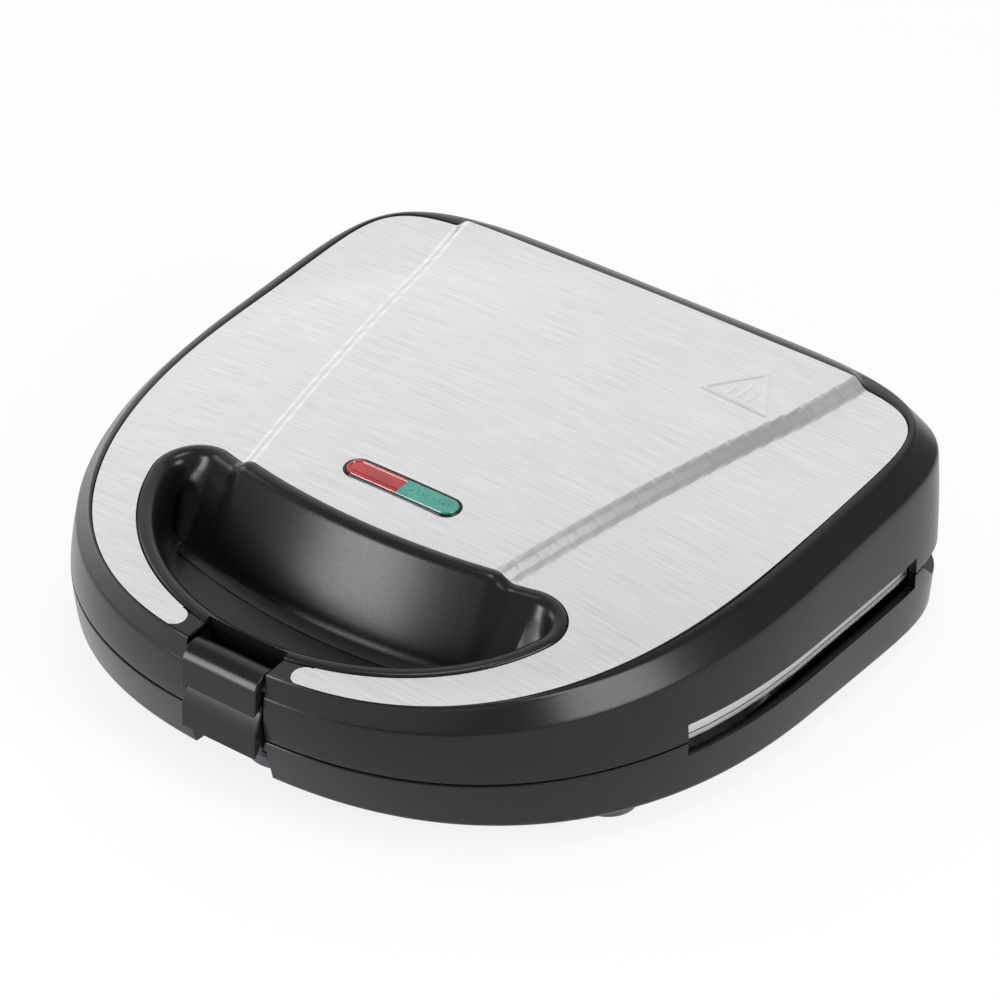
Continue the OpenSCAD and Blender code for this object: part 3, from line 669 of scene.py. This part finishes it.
wire_sleeve = speckled("wire sleeve", (0.66, 0.62, 0.52), (0.82, 0.79, 0.7), 0.7, 0.85,
                       bump=0.6, depth=0.00008, scale=2600.0)
red_clear = clear_colour("clear red", (0.55, 0.006, 0.008), (0.8, 0.02, 0.02), 0.08)
green_clear = clear_colour("clear green", (0.03, 0.42, 0.34), (0.1, 0.62, 0.52), 0.08)
lamp_glass = clear_colour("lamp glass", (0.75, 0.7, 0.65), (0.9, 0.87, 0.83), 0.05)


# Camera, set as the photograph's view was fitted
def make_camera():
    turn = 0.6265838
    tilt = 0.6474042
    focal_px = 4400
    picture_px = 1000
    right = Vector((math.cos(turn), math.sin(turn), 0))
    ahead = Vector((-math.sin(turn) * math.cos(tilt), math.cos(turn) * math.cos(tilt),
                    -math.sin(tilt)))
    lean = Matrix.Rotation(LID_SLOPE, 3, "X")
    right = lean @ right
    ahead = lean @ ahead
    up = right.cross(ahead)
    axes = Matrix((right, up, -ahead)).transposed().to_4x4()
    data = bpy.data.cameras.new("camera")
    data.sensor_width = 36.0
    data.lens = data.sensor_width * focal_px / picture_px
    data.clip_end = 20
    camera = bpy.data.objects.new("camera", data)
    camera.matrix_world = Matrix.Translation(on_lid(621.7, -837.5, 776.6) * MM) @ axes
    bpy.context.scene.collection.objects.link(camera)
    bpy.context.scene.camera = camera


# Floor, lights and world
GLOW_SHARE = 0.84


def make_floor():
    bm = bmesh.new()
    bmesh.ops.create_grid(bm, x_segments=2, y_segments=2, size=6)
    mesh = bpy.data.meshes.new("floor")
    bm.to_mesh(mesh)
    bm.free()
    floor = bpy.data.objects.new("floor", mesh)
    bpy.context.scene.collection.objects.link(floor)
    material = bpy.data.materials.new("pale floor")
    material.use_nodes = True
    nodes = material.node_tree.nodes
    link = material.node_tree.links.new
    shader = nodes["Principled BSDF"]
    shader.inputs["Base Color"].default_value = (0.92, 0.92, 0.92, 1)
    shader.inputs["Roughness"].default_value = 0.85
    glow = nodes.new("ShaderNodeEmission")
    glow.inputs["Color"].default_value = (1, 1, 1, 1)
    glow.inputs["Strength"].default_value = 1.0
    ray = nodes.new("ShaderNodeLightPath")
    seen = ray.outputs["Is Camera Ray"]
    for kind in ("Is Glossy Ray", "Is Transmission Ray"):
        either = nodes.new("ShaderNodeMath")
        either.operation = "MAXIMUM"
        link(seen, either.inputs[0])
        link(ray.outputs[kind], either.inputs[1])
        seen = either.outputs[0]
    share = nodes.new("ShaderNodeMath")
    share.operation = "MULTIPLY"
    share.inputs[1].default_value = GLOW_SHARE
    link(seen, share.inputs[0])
    mix = nodes.new("ShaderNodeMixShader")
    link(share.outputs[0], mix.inputs[0])
    link(shader.outputs[0], mix.inputs[1])
    link(glow.outputs[0], mix.inputs[2])
    link(mix.outputs[0], nodes["Material Output"].inputs["Surface"])
    mesh.materials.append(material)


def area_light(name, place, aim, width, height, power):
    data = bpy.data.lights.new(name, "AREA")
    data.shape = "RECTANGLE"
    data.size = width
    data.size_y = height
    data.energy = power
    light = bpy.data.objects.new(name, data)
    light.location = place
    light.rotation_euler = (Vector(aim) - Vector(place)).to_track_quat("-Z", "Y").to_euler()
    bpy.context.scene.collection.objects.link(light)
    return light


def make_lights():
    world = bpy.data.worlds.new("studio")
    world.use_nodes = True
    background = world.node_tree.nodes["Background"]
    background.inputs["Color"].default_value = (1, 1, 1, 1)
    background.inputs["Strength"].default_value = 0.36
    bpy.context.scene.world = world
    middle = (0, 0, 0.03)
    area_light("rear softbox", (-0.8, 1.15, 1.0), middle, 2.4, 1.6, 8.0)
    area_light("top softbox", (0.1, -0.1, 1.2), middle, 0.45, 0.45, 3.4)
    area_light("rear left strip", (-1.15, 0.95, 0.28), middle, 1.0, 0.35, 0.9)
    area_light("front left strip", (-0.37, -0.82, 0.2), middle, 0.3, 0.5, 5)
    area_light("right softbox", (0.95, -0.1, 0.5), middle, 0.5, 0.5, 6)
    area_light("left softbox", (-1.0, -0.2, 0.5), middle, 0.5, 0.5, 2.4)


# Steel cover
def cover_triangle():
    """Corners of the pressed triangle, in the cover's plane."""
    middle = Vector((51.2, 76.0))
    reach = 13.0
    turns = [math.radians(90 + 120 * i) for i in range(3)]
    return [middle + Vector((math.cos(a), math.sin(a))) * reach for a in turns]


TRIANGLE = cover_triangle()
RIBS = [(-3.4, 1.0), (0.0, 4.4), (3.4, 1.0)]


def distance_to_line(point, a, b):
    along = b - a
    share = max(0.0, min(1.0, (point - a).dot(along) / along.length_squared))
    return (point - a - along * share).length


def pressed_mark(x, y):
    """Height of the pressed triangle's border and of its three straight ribs."""
    point = Vector((x, y))
    middle = sum(TRIANGLE, Vector((0, 0))) / 3
    if (point - middle).length > 16:
        return 0.0
    border = min(distance_to_line(point, TRIANGLE[i], TRIANGLE[i - 1]) for i in range(3))
    rise = max(0.0, 1 - (border / 0.9) ** 2)
    for across, top in RIBS:
        low = middle + Vector((across, -3.6))
        high = middle + Vector((across, top))
        rib = distance_to_line(point, low, high)
        rise = max(rise, 0.8 * max(0.0, 1 - (rib / 0.75) ** 2))
    return 0.26 * rise


def capsule_loop(grow, z, place=on_lid, count=96):
    """Outline of the indicator, larger by grow."""
    loop = []
    r = LAMP_W / 2 + grow
    half = (LAMP_L - LAMP_W) / 2
    for i in range(count):
        a = math.tau * i / count
        middle = half if math.cos(a) >= 0 else -half
        loop.append(place(middle + r * math.cos(a), -LAMP_Y + r * math.sin(a), z))
    return loop


def flat(x, y, z):
    return Vector((x, y, z))


def steel_cover():
    """Sheet cut flat from a fine grid, then pressed to the crown, the raised panel and the mark."""
    cell = 1.5
    half_x = 106.5
    half_y = 114.0
    bm = bmesh.new()
    bmesh.ops.create_grid(bm, x_segments=int(2 * half_x / cell), y_segments=int(2 * half_y / cell),
                          size=0.5)
    bmesh.ops.scale(bm, vec=(2 * half_x, 2 * half_y, 1), verts=bm.verts)
    slope = (PANEL_REAR_W - PANEL_FRONT_W) / (PANEL_Y1 - PANEL_Y0)
    outer = STEP_HALF + STEP_SOFT
    inner = STEP_HALF - STEP_SOFT
    for side in (-1, 1):
        for offset in (-outer, -inner, inner, outer):
            through = Vector((side * (PANEL_FRONT_W + offset), PANEL_Y0, 0))
            across = Vector((side, -slope, 0))
            bmesh.ops.bisect_plane(bm, geom=bm.verts[:] + bm.edges[:] + bm.faces[:],
                                   plane_co=through, plane_no=across, dist=1e-4)
    middle = sum(TRIANGLE, Vector((0, 0))) / 3
    near = [e for e in bm.edges
            if all((Vector(v.co.xy) - middle).length < 17 for v in e.verts)]
    bmesh.ops.subdivide_edges(bm, edges=near, cuts=3, use_grid_fill=True)
    made = bmesh.ops.extrude_face_region(bm, geom=bm.faces[:])["geom"]
    moved = [g for g in made if isinstance(g, bmesh.types.BMVert)]
    bmesh.ops.translate(bm, vec=(0, 0, -STEEL_T), verts=moved)
    bmesh.ops.recalc_face_normals(bm, faces=bm.faces)
    outline = [[flat(*seam_plan(turn), z) for turn in TURNS] for z in (-5, 5)]
    bm = carve(bm, [lofted(outline)], "INTERSECT")
    well = [[flat(p.x + n.x * 0.05, p.y + n.y * 0.05, z) for p, n in WELL] for z in (-5, 5)]
    lamp = [capsule_loop(0.15, z, flat) for z in (-5, 5)]
    bm = carve(bm, [lofted(well), lofted(lamp), latch_notch()])
    for vert in bm.verts:
        vert.co.z += cover_height(vert.co.x, vert.co.y) + pressed_mark(vert.co.x, vert.co.y)
        vert.co = on_lid(*vert.co)
    finished(bm, "steel_cover", "lid", steel_sheet, ["steel_top_cover"], sharp=35)


def tip_arc(side, r):
    """Round end of the sheet beside the latch, from the well to the front edge."""
    points = []
    for i in range(13):
        a = math.radians(90 + 15 * i)
        points.append((side * (TIP_X + r * math.cos(a)), TIP_Y + r * math.sin(a)))
    return points


def latch_notch():
    """What is left open in the cover at the latch, with round ends on the sheet's tips."""
    right = tip_arc(1, TIP_R)
    left = tip_arc(-1, TIP_R)[::-1]
    plan = [(TIP_X, -88)] + right + [(TIP_X, -BIG), (-TIP_X, -BIG)] + left + [(-TIP_X, -88)]
    return lofted([[flat(x, y, z) for x, y in plan] for z in (-5, 5)])


def latch_bridge(side):
    """The casing's surface between the latch's pocket and the sheet's tip."""
    arc = tip_arc(side, TIP_R + 0.25)[1:-1]
    plan = [(side * POCKET_HALF, -100.8)] + arc + [(side * POCKET_HALF, -108.2)]
    middle_x = sum(x for x, y in plan) / len(plan)
    middle_y = sum(y for x, y in plan) / len(plan)
    loops = []
    for scale, z in ((1, -3.5), (1, 0.0), (0.97, 0.2), (0.9, 0.3)):
        loops.append([on_lid(middle_x + (x - middle_x) * scale, middle_y + (y - middle_y) * scale, z)
                      for x, y in plan])
    return lofted(loops)


# Casings
# The black band round the cover: share of its width from the cover's edge, and height
BAND = [(0.0, -0.1), (0.04, 0.14), (0.12, 0.26), (0.3, 0.2), (0.5, 0.0), (0.7, -0.34),
        (0.88, -0.8), (1.0, -1.3)]


def lid_casing():
    top_seat = -STEEL_T - 0.02
    wall_top = lid_level(wall_plan, 0, -CHAMFER_H)
    low_edge = level(parting_plan, 0, lid_low + 0.5)
    loops = [lid_level(seam_plan, 8, top_seat), lid_level(seam_plan, -0.35, top_seat)]
    for share, height in BAND:
        seam = lid_level(seam_plan, -0.35, height, True)
        edge = lid_level(bezel_plan, 0, height)
        loops.append(between(seam, edge, share))
    loops += [
        lid_level(wall_plan, 0.55, -CHAMFER_H + 0.75),
        lid_level(wall_plan, 0.15, -CHAMFER_H + 0.1),
        between(wall_top, low_edge, 0.04, 0.1),
    ]
    for share in (0.15, 0.3, 0.45, 0.6, 0.75, 0.88):
        loops.append(between(wall_top, low_edge, share, 1.2 * share * (1 - share)))
    loops += [
        low_edge,
        level(parting_plan, 0.15, lid_low + 0.15),
        level(parting_plan, 0.5, lid_low),
        level(parting_plan, WALL - 0.3, lid_low),
        level(parting_plan, WALL, lid_low + 0.4),
        lid_level(wall_plan, WALL, -CHAMFER_H),
        lid_level(bezel_plan, WALL, -STEEL_T - DECK_T),
    ]
    cuts = [well_cutter(), latch_pocket(), lid_low_cuts()]
    cuts += [side_slot(side, lid_low - 1, PARTING_Z + SLOT_UP) for side in (-1, 1)]
    cuts.append(lofted([capsule_loop(0.2, z) for z in (-8, 3)]))
    return carve(lofted(loops), cuts)


def well_cutter():
    return lofted([[on_lid(p.x - n.x * 1.5, p.y - n.y * 1.5, z) for p, n in WELL]
                   for z in (-8, 12)])


def latch_pocket():
    """Room for the latch in the lid's front, with upright walls."""
    return block(-POCKET_HALF, POCKET_HALF, -BIG / 2, POCKET_REAR, 0, BIG)


def side_slot(side, z0, z1):
    return block(*sorted((side * SLOT_X, side * BIG / 2)), -SLOT_FRONT, SLOT_REAR, z0, z1)


def ear_places():
    inner = EAR_X - LID_EAR_T / 2 - EAR_GAP - EAR_T
    outer = EAR_X + LID_EAR_T / 2 + EAR_GAP
    return inner, outer


def lid_low_cuts():
    """Openings in the lid's rear wall that swing past the base's ears."""
    inner, outer = ear_places()
    starts = [inner, outer, -inner - EAR_T, -outer - EAR_T, -SLEEVE_X - SLEEVE_CLIP_T]
    return joined(*[block(x - 0.6, x + EAR_T + 0.6, HINGE_Y + 1, HINGE_Y + 40, 0,
                          HINGE_Z + EAR_R + 4) for x in starts])


def hinge_block(x, thick, y0, y1, z0, z1):
    """A hinge ear: a round eye with a straight stem."""
    stem = block(x, x + thick, y0, y1, z0, z1, 0.4)
    eye = rod(x, x + thick, HINGE_Y, HINGE_Z, EAR_R)
    return [stem, eye]


def lid_inner():
    """Bulkhead and hinge ears inside the lid, and the walls beside the latch pocket."""
    parts = []
    deck = on_lid(0, BULKHEAD_Y + 2, -STEEL_T - DECK_T).z
    parts.append(block(-106, 106, BULKHEAD_Y, BULKHEAD_Y + BULKHEAD_T, lid_low, deck))
    for x in (EAR_X - LID_EAR_T / 2, -EAR_X - LID_EAR_T / 2):
        parts += hinge_block(x, LID_EAR_T, HINGE_Y - EAR_R, HINGE_Y + EAR_R, HINGE_Z, 59)
        parts.append(block(x, x + LID_EAR_T, HINGE_Y, BODY_REAR - 1.2, 38, 50, 0.4))
    parts += hinge_block(SLEEVE_X, SLEEVE_CLIP_T, HINGE_Y - EAR_R, HINGE_Y + EAR_R, HINGE_Z, 59)
    for side in (-1, 1):
        xs = sorted((side * POCKET_HALF, side * (POCKET_HALF + POCKET_WALL)))
        parts.append(block(*xs, -106, -99, lid_low + 0.05, 46.5))
    parts.append(block(-POCKET_HALF - POCKET_WALL, POCKET_HALF + POCKET_WALL, POCKET_REAR,
                       POCKET_REAR + POCKET_WALL, lid_low + 0.05, 47))
    return parts


def upper_casing():
    bm = joined(lid_casing(), latch_bridge(-1), latch_bridge(1), *lid_inner())
    finished(bm, "lid_casing", "lid", gloss_black, ["upper_housing"])


def grip_well():
    """Glossy well with its rounded rim, set through the steel cover."""
    rim_top = 0.75
    depth = -WELL_DEPTH
    loops = [
        well_level(-11, depth - WELL_WALL, 12.6, False),
        well_level(-RIM_W + WELL_WALL - 1, depth - WELL_WALL, 12, False),
        well_level(-RIM_W + WELL_WALL, depth - WELL_WALL + 2, 11, False),
        well_level(-RIM_W + WELL_WALL, -3.4, 0, False),
        well_level(-0.3, -2.6, 0, False),
        well_level(-0.3, -0.5),
        well_level(-0.35, 0.1),
        well_level(-0.7, 0.5),
        well_level(-1.4, rim_top),
        well_level(-2.6, rim_top + 0.1),
        well_level(-3.8, rim_top - 0.25),
        well_level(-4.8, rim_top - 1.0),
        well_level(-5.5, rim_top - 2.1),
        well_level(-5.9, rim_top - 3.6, 0.3),
    ]
    steps = 9
    for i in range(1, steps + 1):
        share = i / steps
        loops.append(well_wall_level(share, depth + 3.4))
    loops += [
        well_level(-RIM_W - 1.0, depth + 1.2, 13.3, False),
        well_level(-RIM_W - 2.4, depth + 0.3, 13.6, False),
        well_level(-RIM_W - 4.5, depth, 13.8, False),
        well_level(-11.2, depth, 13.8, False),
    ]
    bm = carve(lofted(loops), [latch_pocket()])
    finished(bm, "grip_well", "lid", gloss_black, ["upper_housing"], sharp=40)


def well_wall_level(share, low):
    """One loop of the well's wall, from under the rim (0) to the floor's rounding (1)."""
    loop = []
    for point, out in WELL:
        grow = -5.9 - 0.3 * share
        x = point.x + out.x * grow
        y = point.y + out.y * grow - (0.3 + 12.7 * share) * max(out.y, 0.0) ** 1.2
        top = cover_height(point.x, point.y) - 2.85
        loop.append(on_lid(x, y, top + (low - top) * share))
    return loop


def base_casing():
    def floor_top(x, y):
        return edge_z(y) + FLOOR_T

    def raised(extra):
        return lambda x, y: edge_z(y) + extra

    top = level(parting_plan, 0, base_top - 0.5)
    low = level(bottom_plan, 0, raised(1.6))
    loops = [
        level(bottom_plan, WALL + 12, floor_top),
        level(bottom_plan, WALL + 0.8, floor_top),
        level(bottom_plan, WALL, raised(FLOOR_T + 0.8)),
        level(parting_plan, WALL, base_top - 0.4),
        level(parting_plan, WALL - 0.4, base_top),
        level(parting_plan, 0.5, base_top),
        level(parting_plan, 0.15, base_top - 0.15),
        top,
    ]
    for share in (0.2, 0.4, 0.6, 0.8):
        loops.append(between(top, low, share, 0.5 * share * (1 - share)))
    loops += [
        low,
        level(bottom_plan, 0.12, raised(0.95)),
        level(bottom_plan, 0.5, raised(0.4)),
        level(bottom_plan, 1.1, raised(0.08)),
        level(bottom_plan, 1.9, raised(0)),
        level(bottom_plan, 14, raised(0)),
    ]
    bm = lofted(loops)
    cut_y = BULKHEAD_Y + BULKHEAD_T + 0.5
    shoulder = [(cut_y, 60), (cut_y, base_top - 1), (cut_y + 2, base_top - 2.2),
                (cut_y + 8.4, 16.9), (cut_y + 10.5, 16.1), (BODY_REAR + 20, 13.6),
                (BODY_REAR + 20, 60)]
    cuts = [side_profile(shoulder, -BIG / 2, BIG / 2)]
    cuts += [side_slot(side, PARTING_Z - SLOT_DOWN, 60) for side in (-1, 1)]
    cuts.append(block(-POCKET_HALF, POCKET_HALF, -BIG / 2, RECESS_REAR, -2, CATCH_Z))
    cuts.append(block(-POCKET_HALF, POCKET_HALF, -BIG / 2, -110.6, -2, 40))
    place = Matrix.Translation((INLET_X, BODY_REAR - 14, INLET_Z)) \
        @ Matrix.Rotation(-math.pi / 2, 4, "X")
    cuts.append(turned([(0, 0), (4.02, 0), (4.02, 30), (0, 30)], place, 48))
    return carve(bm, cuts)


FEET = {
    "foot_front": (0, -86, 7.2), "foot_left_front": (-86, -45, 6.2),
    "foot_right_front": (86, -45, 6.2), "foot_left_rear": (-84, 80, 3.2),
    "foot_right_rear": (84, 80, 3.2),
}
FOOT_R = 11.0


def base_inner():
    """Bulkhead, hinge ears, latch recess walls and foot bosses of the base."""
    parts = [block(-109, 109, BULKHEAD_Y, BULKHEAD_Y + BULKHEAD_T, 6, base_top - 0.02)]
    inner, outer = ear_places()
    for x in (inner, outer, -inner - EAR_T, -outer - EAR_T, -SLEEVE_X - SLEEVE_CLIP_T):
        parts += hinge_block(x, EAR_T, HINGE_Y - EAR_R, HINGE_Y + EAR_R, 5.6, HINGE_Z)
    for side in (-1, 1):
        xs = sorted((side * POCKET_HALF, side * (POCKET_HALF + POCKET_WALL)))
        parts.append(block(*xs, -106, RECESS_WALL_REAR, RECESS_WALL_LOW, base_top - 0.02))
    parts.append(block(-POCKET_HALF - POCKET_WALL, POCKET_HALF + POCKET_WALL, RECESS_REAR,
                       RECESS_WALL_REAR, RECESS_WALL_LOW, base_top - 0.02))
    parts.append(block(-POCKET_HALF - 0.5, POCKET_HALF + 0.5, -110.1, -98.6, CATCH_Z,
                       base_top - 0.02, 0.5))
    for x, y, top in FEET.values():
        boss = [(0, top), (FOOT_R + 0.4, top), (FOOT_R + 0.8, top + 0.4),
                (FOOT_R + 0.8, edge_z(y) + FLOOR_T + 1.4), (0, edge_z(y) + FLOOR_T + 1.4)]
        parts.append(turned(boss, Matrix.Translation((x, y, 0))))
    return parts


def lower_casing():
    bm = joined(base_casing(), *base_inner())
    finished(bm, "base_casing", "base", gloss_black, ["lower_housing"])


# Small outer pieces
def feet():
    for name, (x, y, top) in FEET.items():
        r = FOOT_R
        profile = [(0, 0), (r - 3.2, 0), (r - 2.8, 0.25), (r - 2.4, 0.25), (r - 2.0, 0),
                   (r - 1.9, 0.05), (r - 1.35, 0.3), (r - 1.1, 0.85), (r - 0.15, top - 0.7),
                   (r - 0.3, top - 0.15), (r - 0.7, top), (0, top)]
        bm = turned(profile, Matrix.Translation((x, y, 0)))
        finished(bm, name.replace("foot", "rubber_foot"), "base", foot_rubber,
                 [name], sharp=50)


def latch():
    """Curled strap with a hook bead at its lower end."""
    front = LATCH_Y - CURL_R
    back = front + LATCH_T
    points = [(front, LATCH_LOW + 0.6), (front, LATCH_LOW + 8), (front, LATCH_LOW + 15)]
    for i in range(27):
        a = math.radians(180 - 9 * i)
        points.append((LATCH_Y + CURL_R * math.cos(a), LATCH_Z + CURL_R * math.sin(a)))
    points += [(LATCH_Y - 2.0, LATCH_Z - 5.2), (back + 0.25, LATCH_Z - 6.2), (back, LATCH_Z - 7.6),
               (back, LATCH_LOW + 3.2), (back + 0.4, LATCH_LOW + 2.5), (back + 1.4, LATCH_LOW + 2.0),
               (back + 1.4, LATCH_LOW + 0.5), (back + 0.9, LATCH_LOW), (front + 0.6, LATCH_LOW)]
    bm = side_profile(points, -LATCH_HALF, LATCH_HALF)
    caps = [f for f in bm.faces if abs(f.normal.x) > 0.9]
    rims = {e for f in caps for e in f.edges}
    bmesh.ops.bevel(bm, geom=list(rims), offset=0.45, segments=3, profile=0.5, affect="EDGES",
                    material=-1)
    finished(bm, "latch", "latch", gloss_black, ["latch_clip"], sharp=40)


def indicator():
    lamp_top = CROWN_H + PANEL_H - LAMP_Y ** 2 / (2 * CROWN_R)
    low = -STEEL_T - DECK_T - 2
    frame_loops = [capsule_loop(0, low), capsule_loop(0, lamp_top - 0.1),
                   capsule_loop(-0.15, lamp_top + 0.12), capsule_loop(-0.45, lamp_top + 0.18),
                   capsule_loop(-0.8, lamp_top), capsule_loop(-0.8, low)]
    finished(lofted(frame_loops, closed=True), "indicator_ring", "lid", gloss_black,
             ["indicator_frame"])
    for side, name, material, slot in ((-1, "red_light", red_clear, "red_clear"),
                                       (1, "green_light", green_clear, "green_clear")):
        lens = [capsule_loop(-0.85, low + 2), capsule_loop(-0.85, lamp_top + 0.1),
                capsule_loop(-1.0, lamp_top + 0.36), capsule_loop(-1.35, lamp_top + 0.46)]
        if side < 0:
            lens += [capsule_loop(-1.75, lamp_top + 0.46), capsule_loop(-1.95, lamp_top + 0.2),
                     capsule_loop(-2.3, lamp_top + 0.18), capsule_loop(-2.5, lamp_top + 0.4),
                     capsule_loop(-3.0, lamp_top + 0.42)]
        bm = lofted(lens)
        cut_at = on_lid(side * 0.05, -LAMP_Y, 0)
        made = bmesh.ops.bisect_plane(bm, geom=bm.verts[:] + bm.edges[:] + bm.faces[:],
                                      plane_co=cut_at, plane_no=(-side, 0, 0), clear_outer=True)
        rim = [g for g in made["geom_cut"] if isinstance(g, bmesh.types.BMEdge)]
        bmesh.ops.contextual_create(bm, geom=rim)
        bmesh.ops.recalc_face_normals(bm, faces=bm.faces)
        if side > 0:
            bubbles = []
            for i in range(8):
                bead = bmesh.new()
                at = on_lid(3.2 + 1.85 * i, -LAMP_Y - 0.2 + 0.5 * (i % 2), lamp_top + 0.3)
                bmesh.ops.create_uvsphere(bead, u_segments=14, v_segments=8, radius=0.62,
                                          matrix=Matrix.Translation(at))
                bubbles.append(bead)
            bm = joined(bm, *bubbles)
        finished(bm, name, "lid", material, ["red_lens" if side < 0 else "green_lens"])


def cooking_plates():
    """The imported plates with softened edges, coated on their cooking side only."""
    for node, body, up in (("lower_cooking_plate", "base", 1), ("upper_cooking_plate", "lid", -1)):
        bm = node_copy(node)
        edges = [e for e in bm.edges if e.calc_face_angle(0) > math.radians(25)]
        bmesh.ops.bevel(bm, geom=edges, offset=0.35, segments=2, profile=0.5, affect="EDGES",
                        material=-1, clamp_overlap=True)
        for face in bm.faces:
            middle = face.calc_center_median()
            inside = -PLATE_FRONT + 0.5 < middle.y < PLATE_REAR - 0.5
            inside = inside and abs(middle.x) < plate_side(middle.y) - 0.5
            if face.normal.z * up > 0.05 and inside:
                face.material_index = 1
        finished(bm, node.replace("_cooking", "_cast"), body, cast_metal, [node],
                 sharp=35, more=[coating])


def cord_bush():
    length = 10.5
    r = 4.0
    profile = [(3.1, 0.0), (r, 0.0), (r, length - 3.7), (r + 0.5, length - 3.7),
               (r + 0.9, length - 3.3), (r + 0.9, length - 0.5), (r + 0.4, length),
               (3.4, length), (3.1, length - 0.3), (3.1, 0.0)]
    place = Matrix.Translation((INLET_X, BODY_REAR + 2.5 - length, INLET_Z)) \
        @ Matrix.Rotation(-math.pi / 2, 4, "X")
    finished(turned(profile, place, 48), "cord_bush", "base", black_rubber,
             ["cord_inlet_bush"], sharp=40)


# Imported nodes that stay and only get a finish
CARRIED = {
    gloss_black: ["lower_front_panel", "upper_front_panel"],
    heater_metal: ["lower_heating_element", "upper_heating_element"],
    bright_sheet: ["lower_reflector", "upper_reflector"],
    plated: ["lower_element_clamp", "upper_element_clamp", "lower_clamp_screw",
             "upper_clamp_screw", "lower_plate_screws", "upper_plate_screws",
             "lower_panel_screws", "upper_panel_screws", "hinge_pin_left", "hinge_pin_right",
             "latch_pin"],
    ceramic: ["terminal_block", "thermostat", "thermal_fuse", "lamp_holder"],
    wire_sleeve: ["base_leads", "lid_leads", "hinge_sleeve"],
    lamp_glass: ["red_lamp", "green_lamp"],
}


def finish_carried():
    for material, names in CARRIED.items():
        for name in names:
            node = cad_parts[name]
            if node.data.materials:
                for slot in node.material_slots:
                    slot.material = material
            else:
                node.data.materials.append(material)


make_camera()
make_floor()
make_lights()
upper_casing()
steel_cover()
grip_well()
lower_casing()
feet()
latch()
indicator()
cooking_plates()
cord_bush()
finish_carried()
bpy.context.scene.view_settings.view_transform = "Standard"
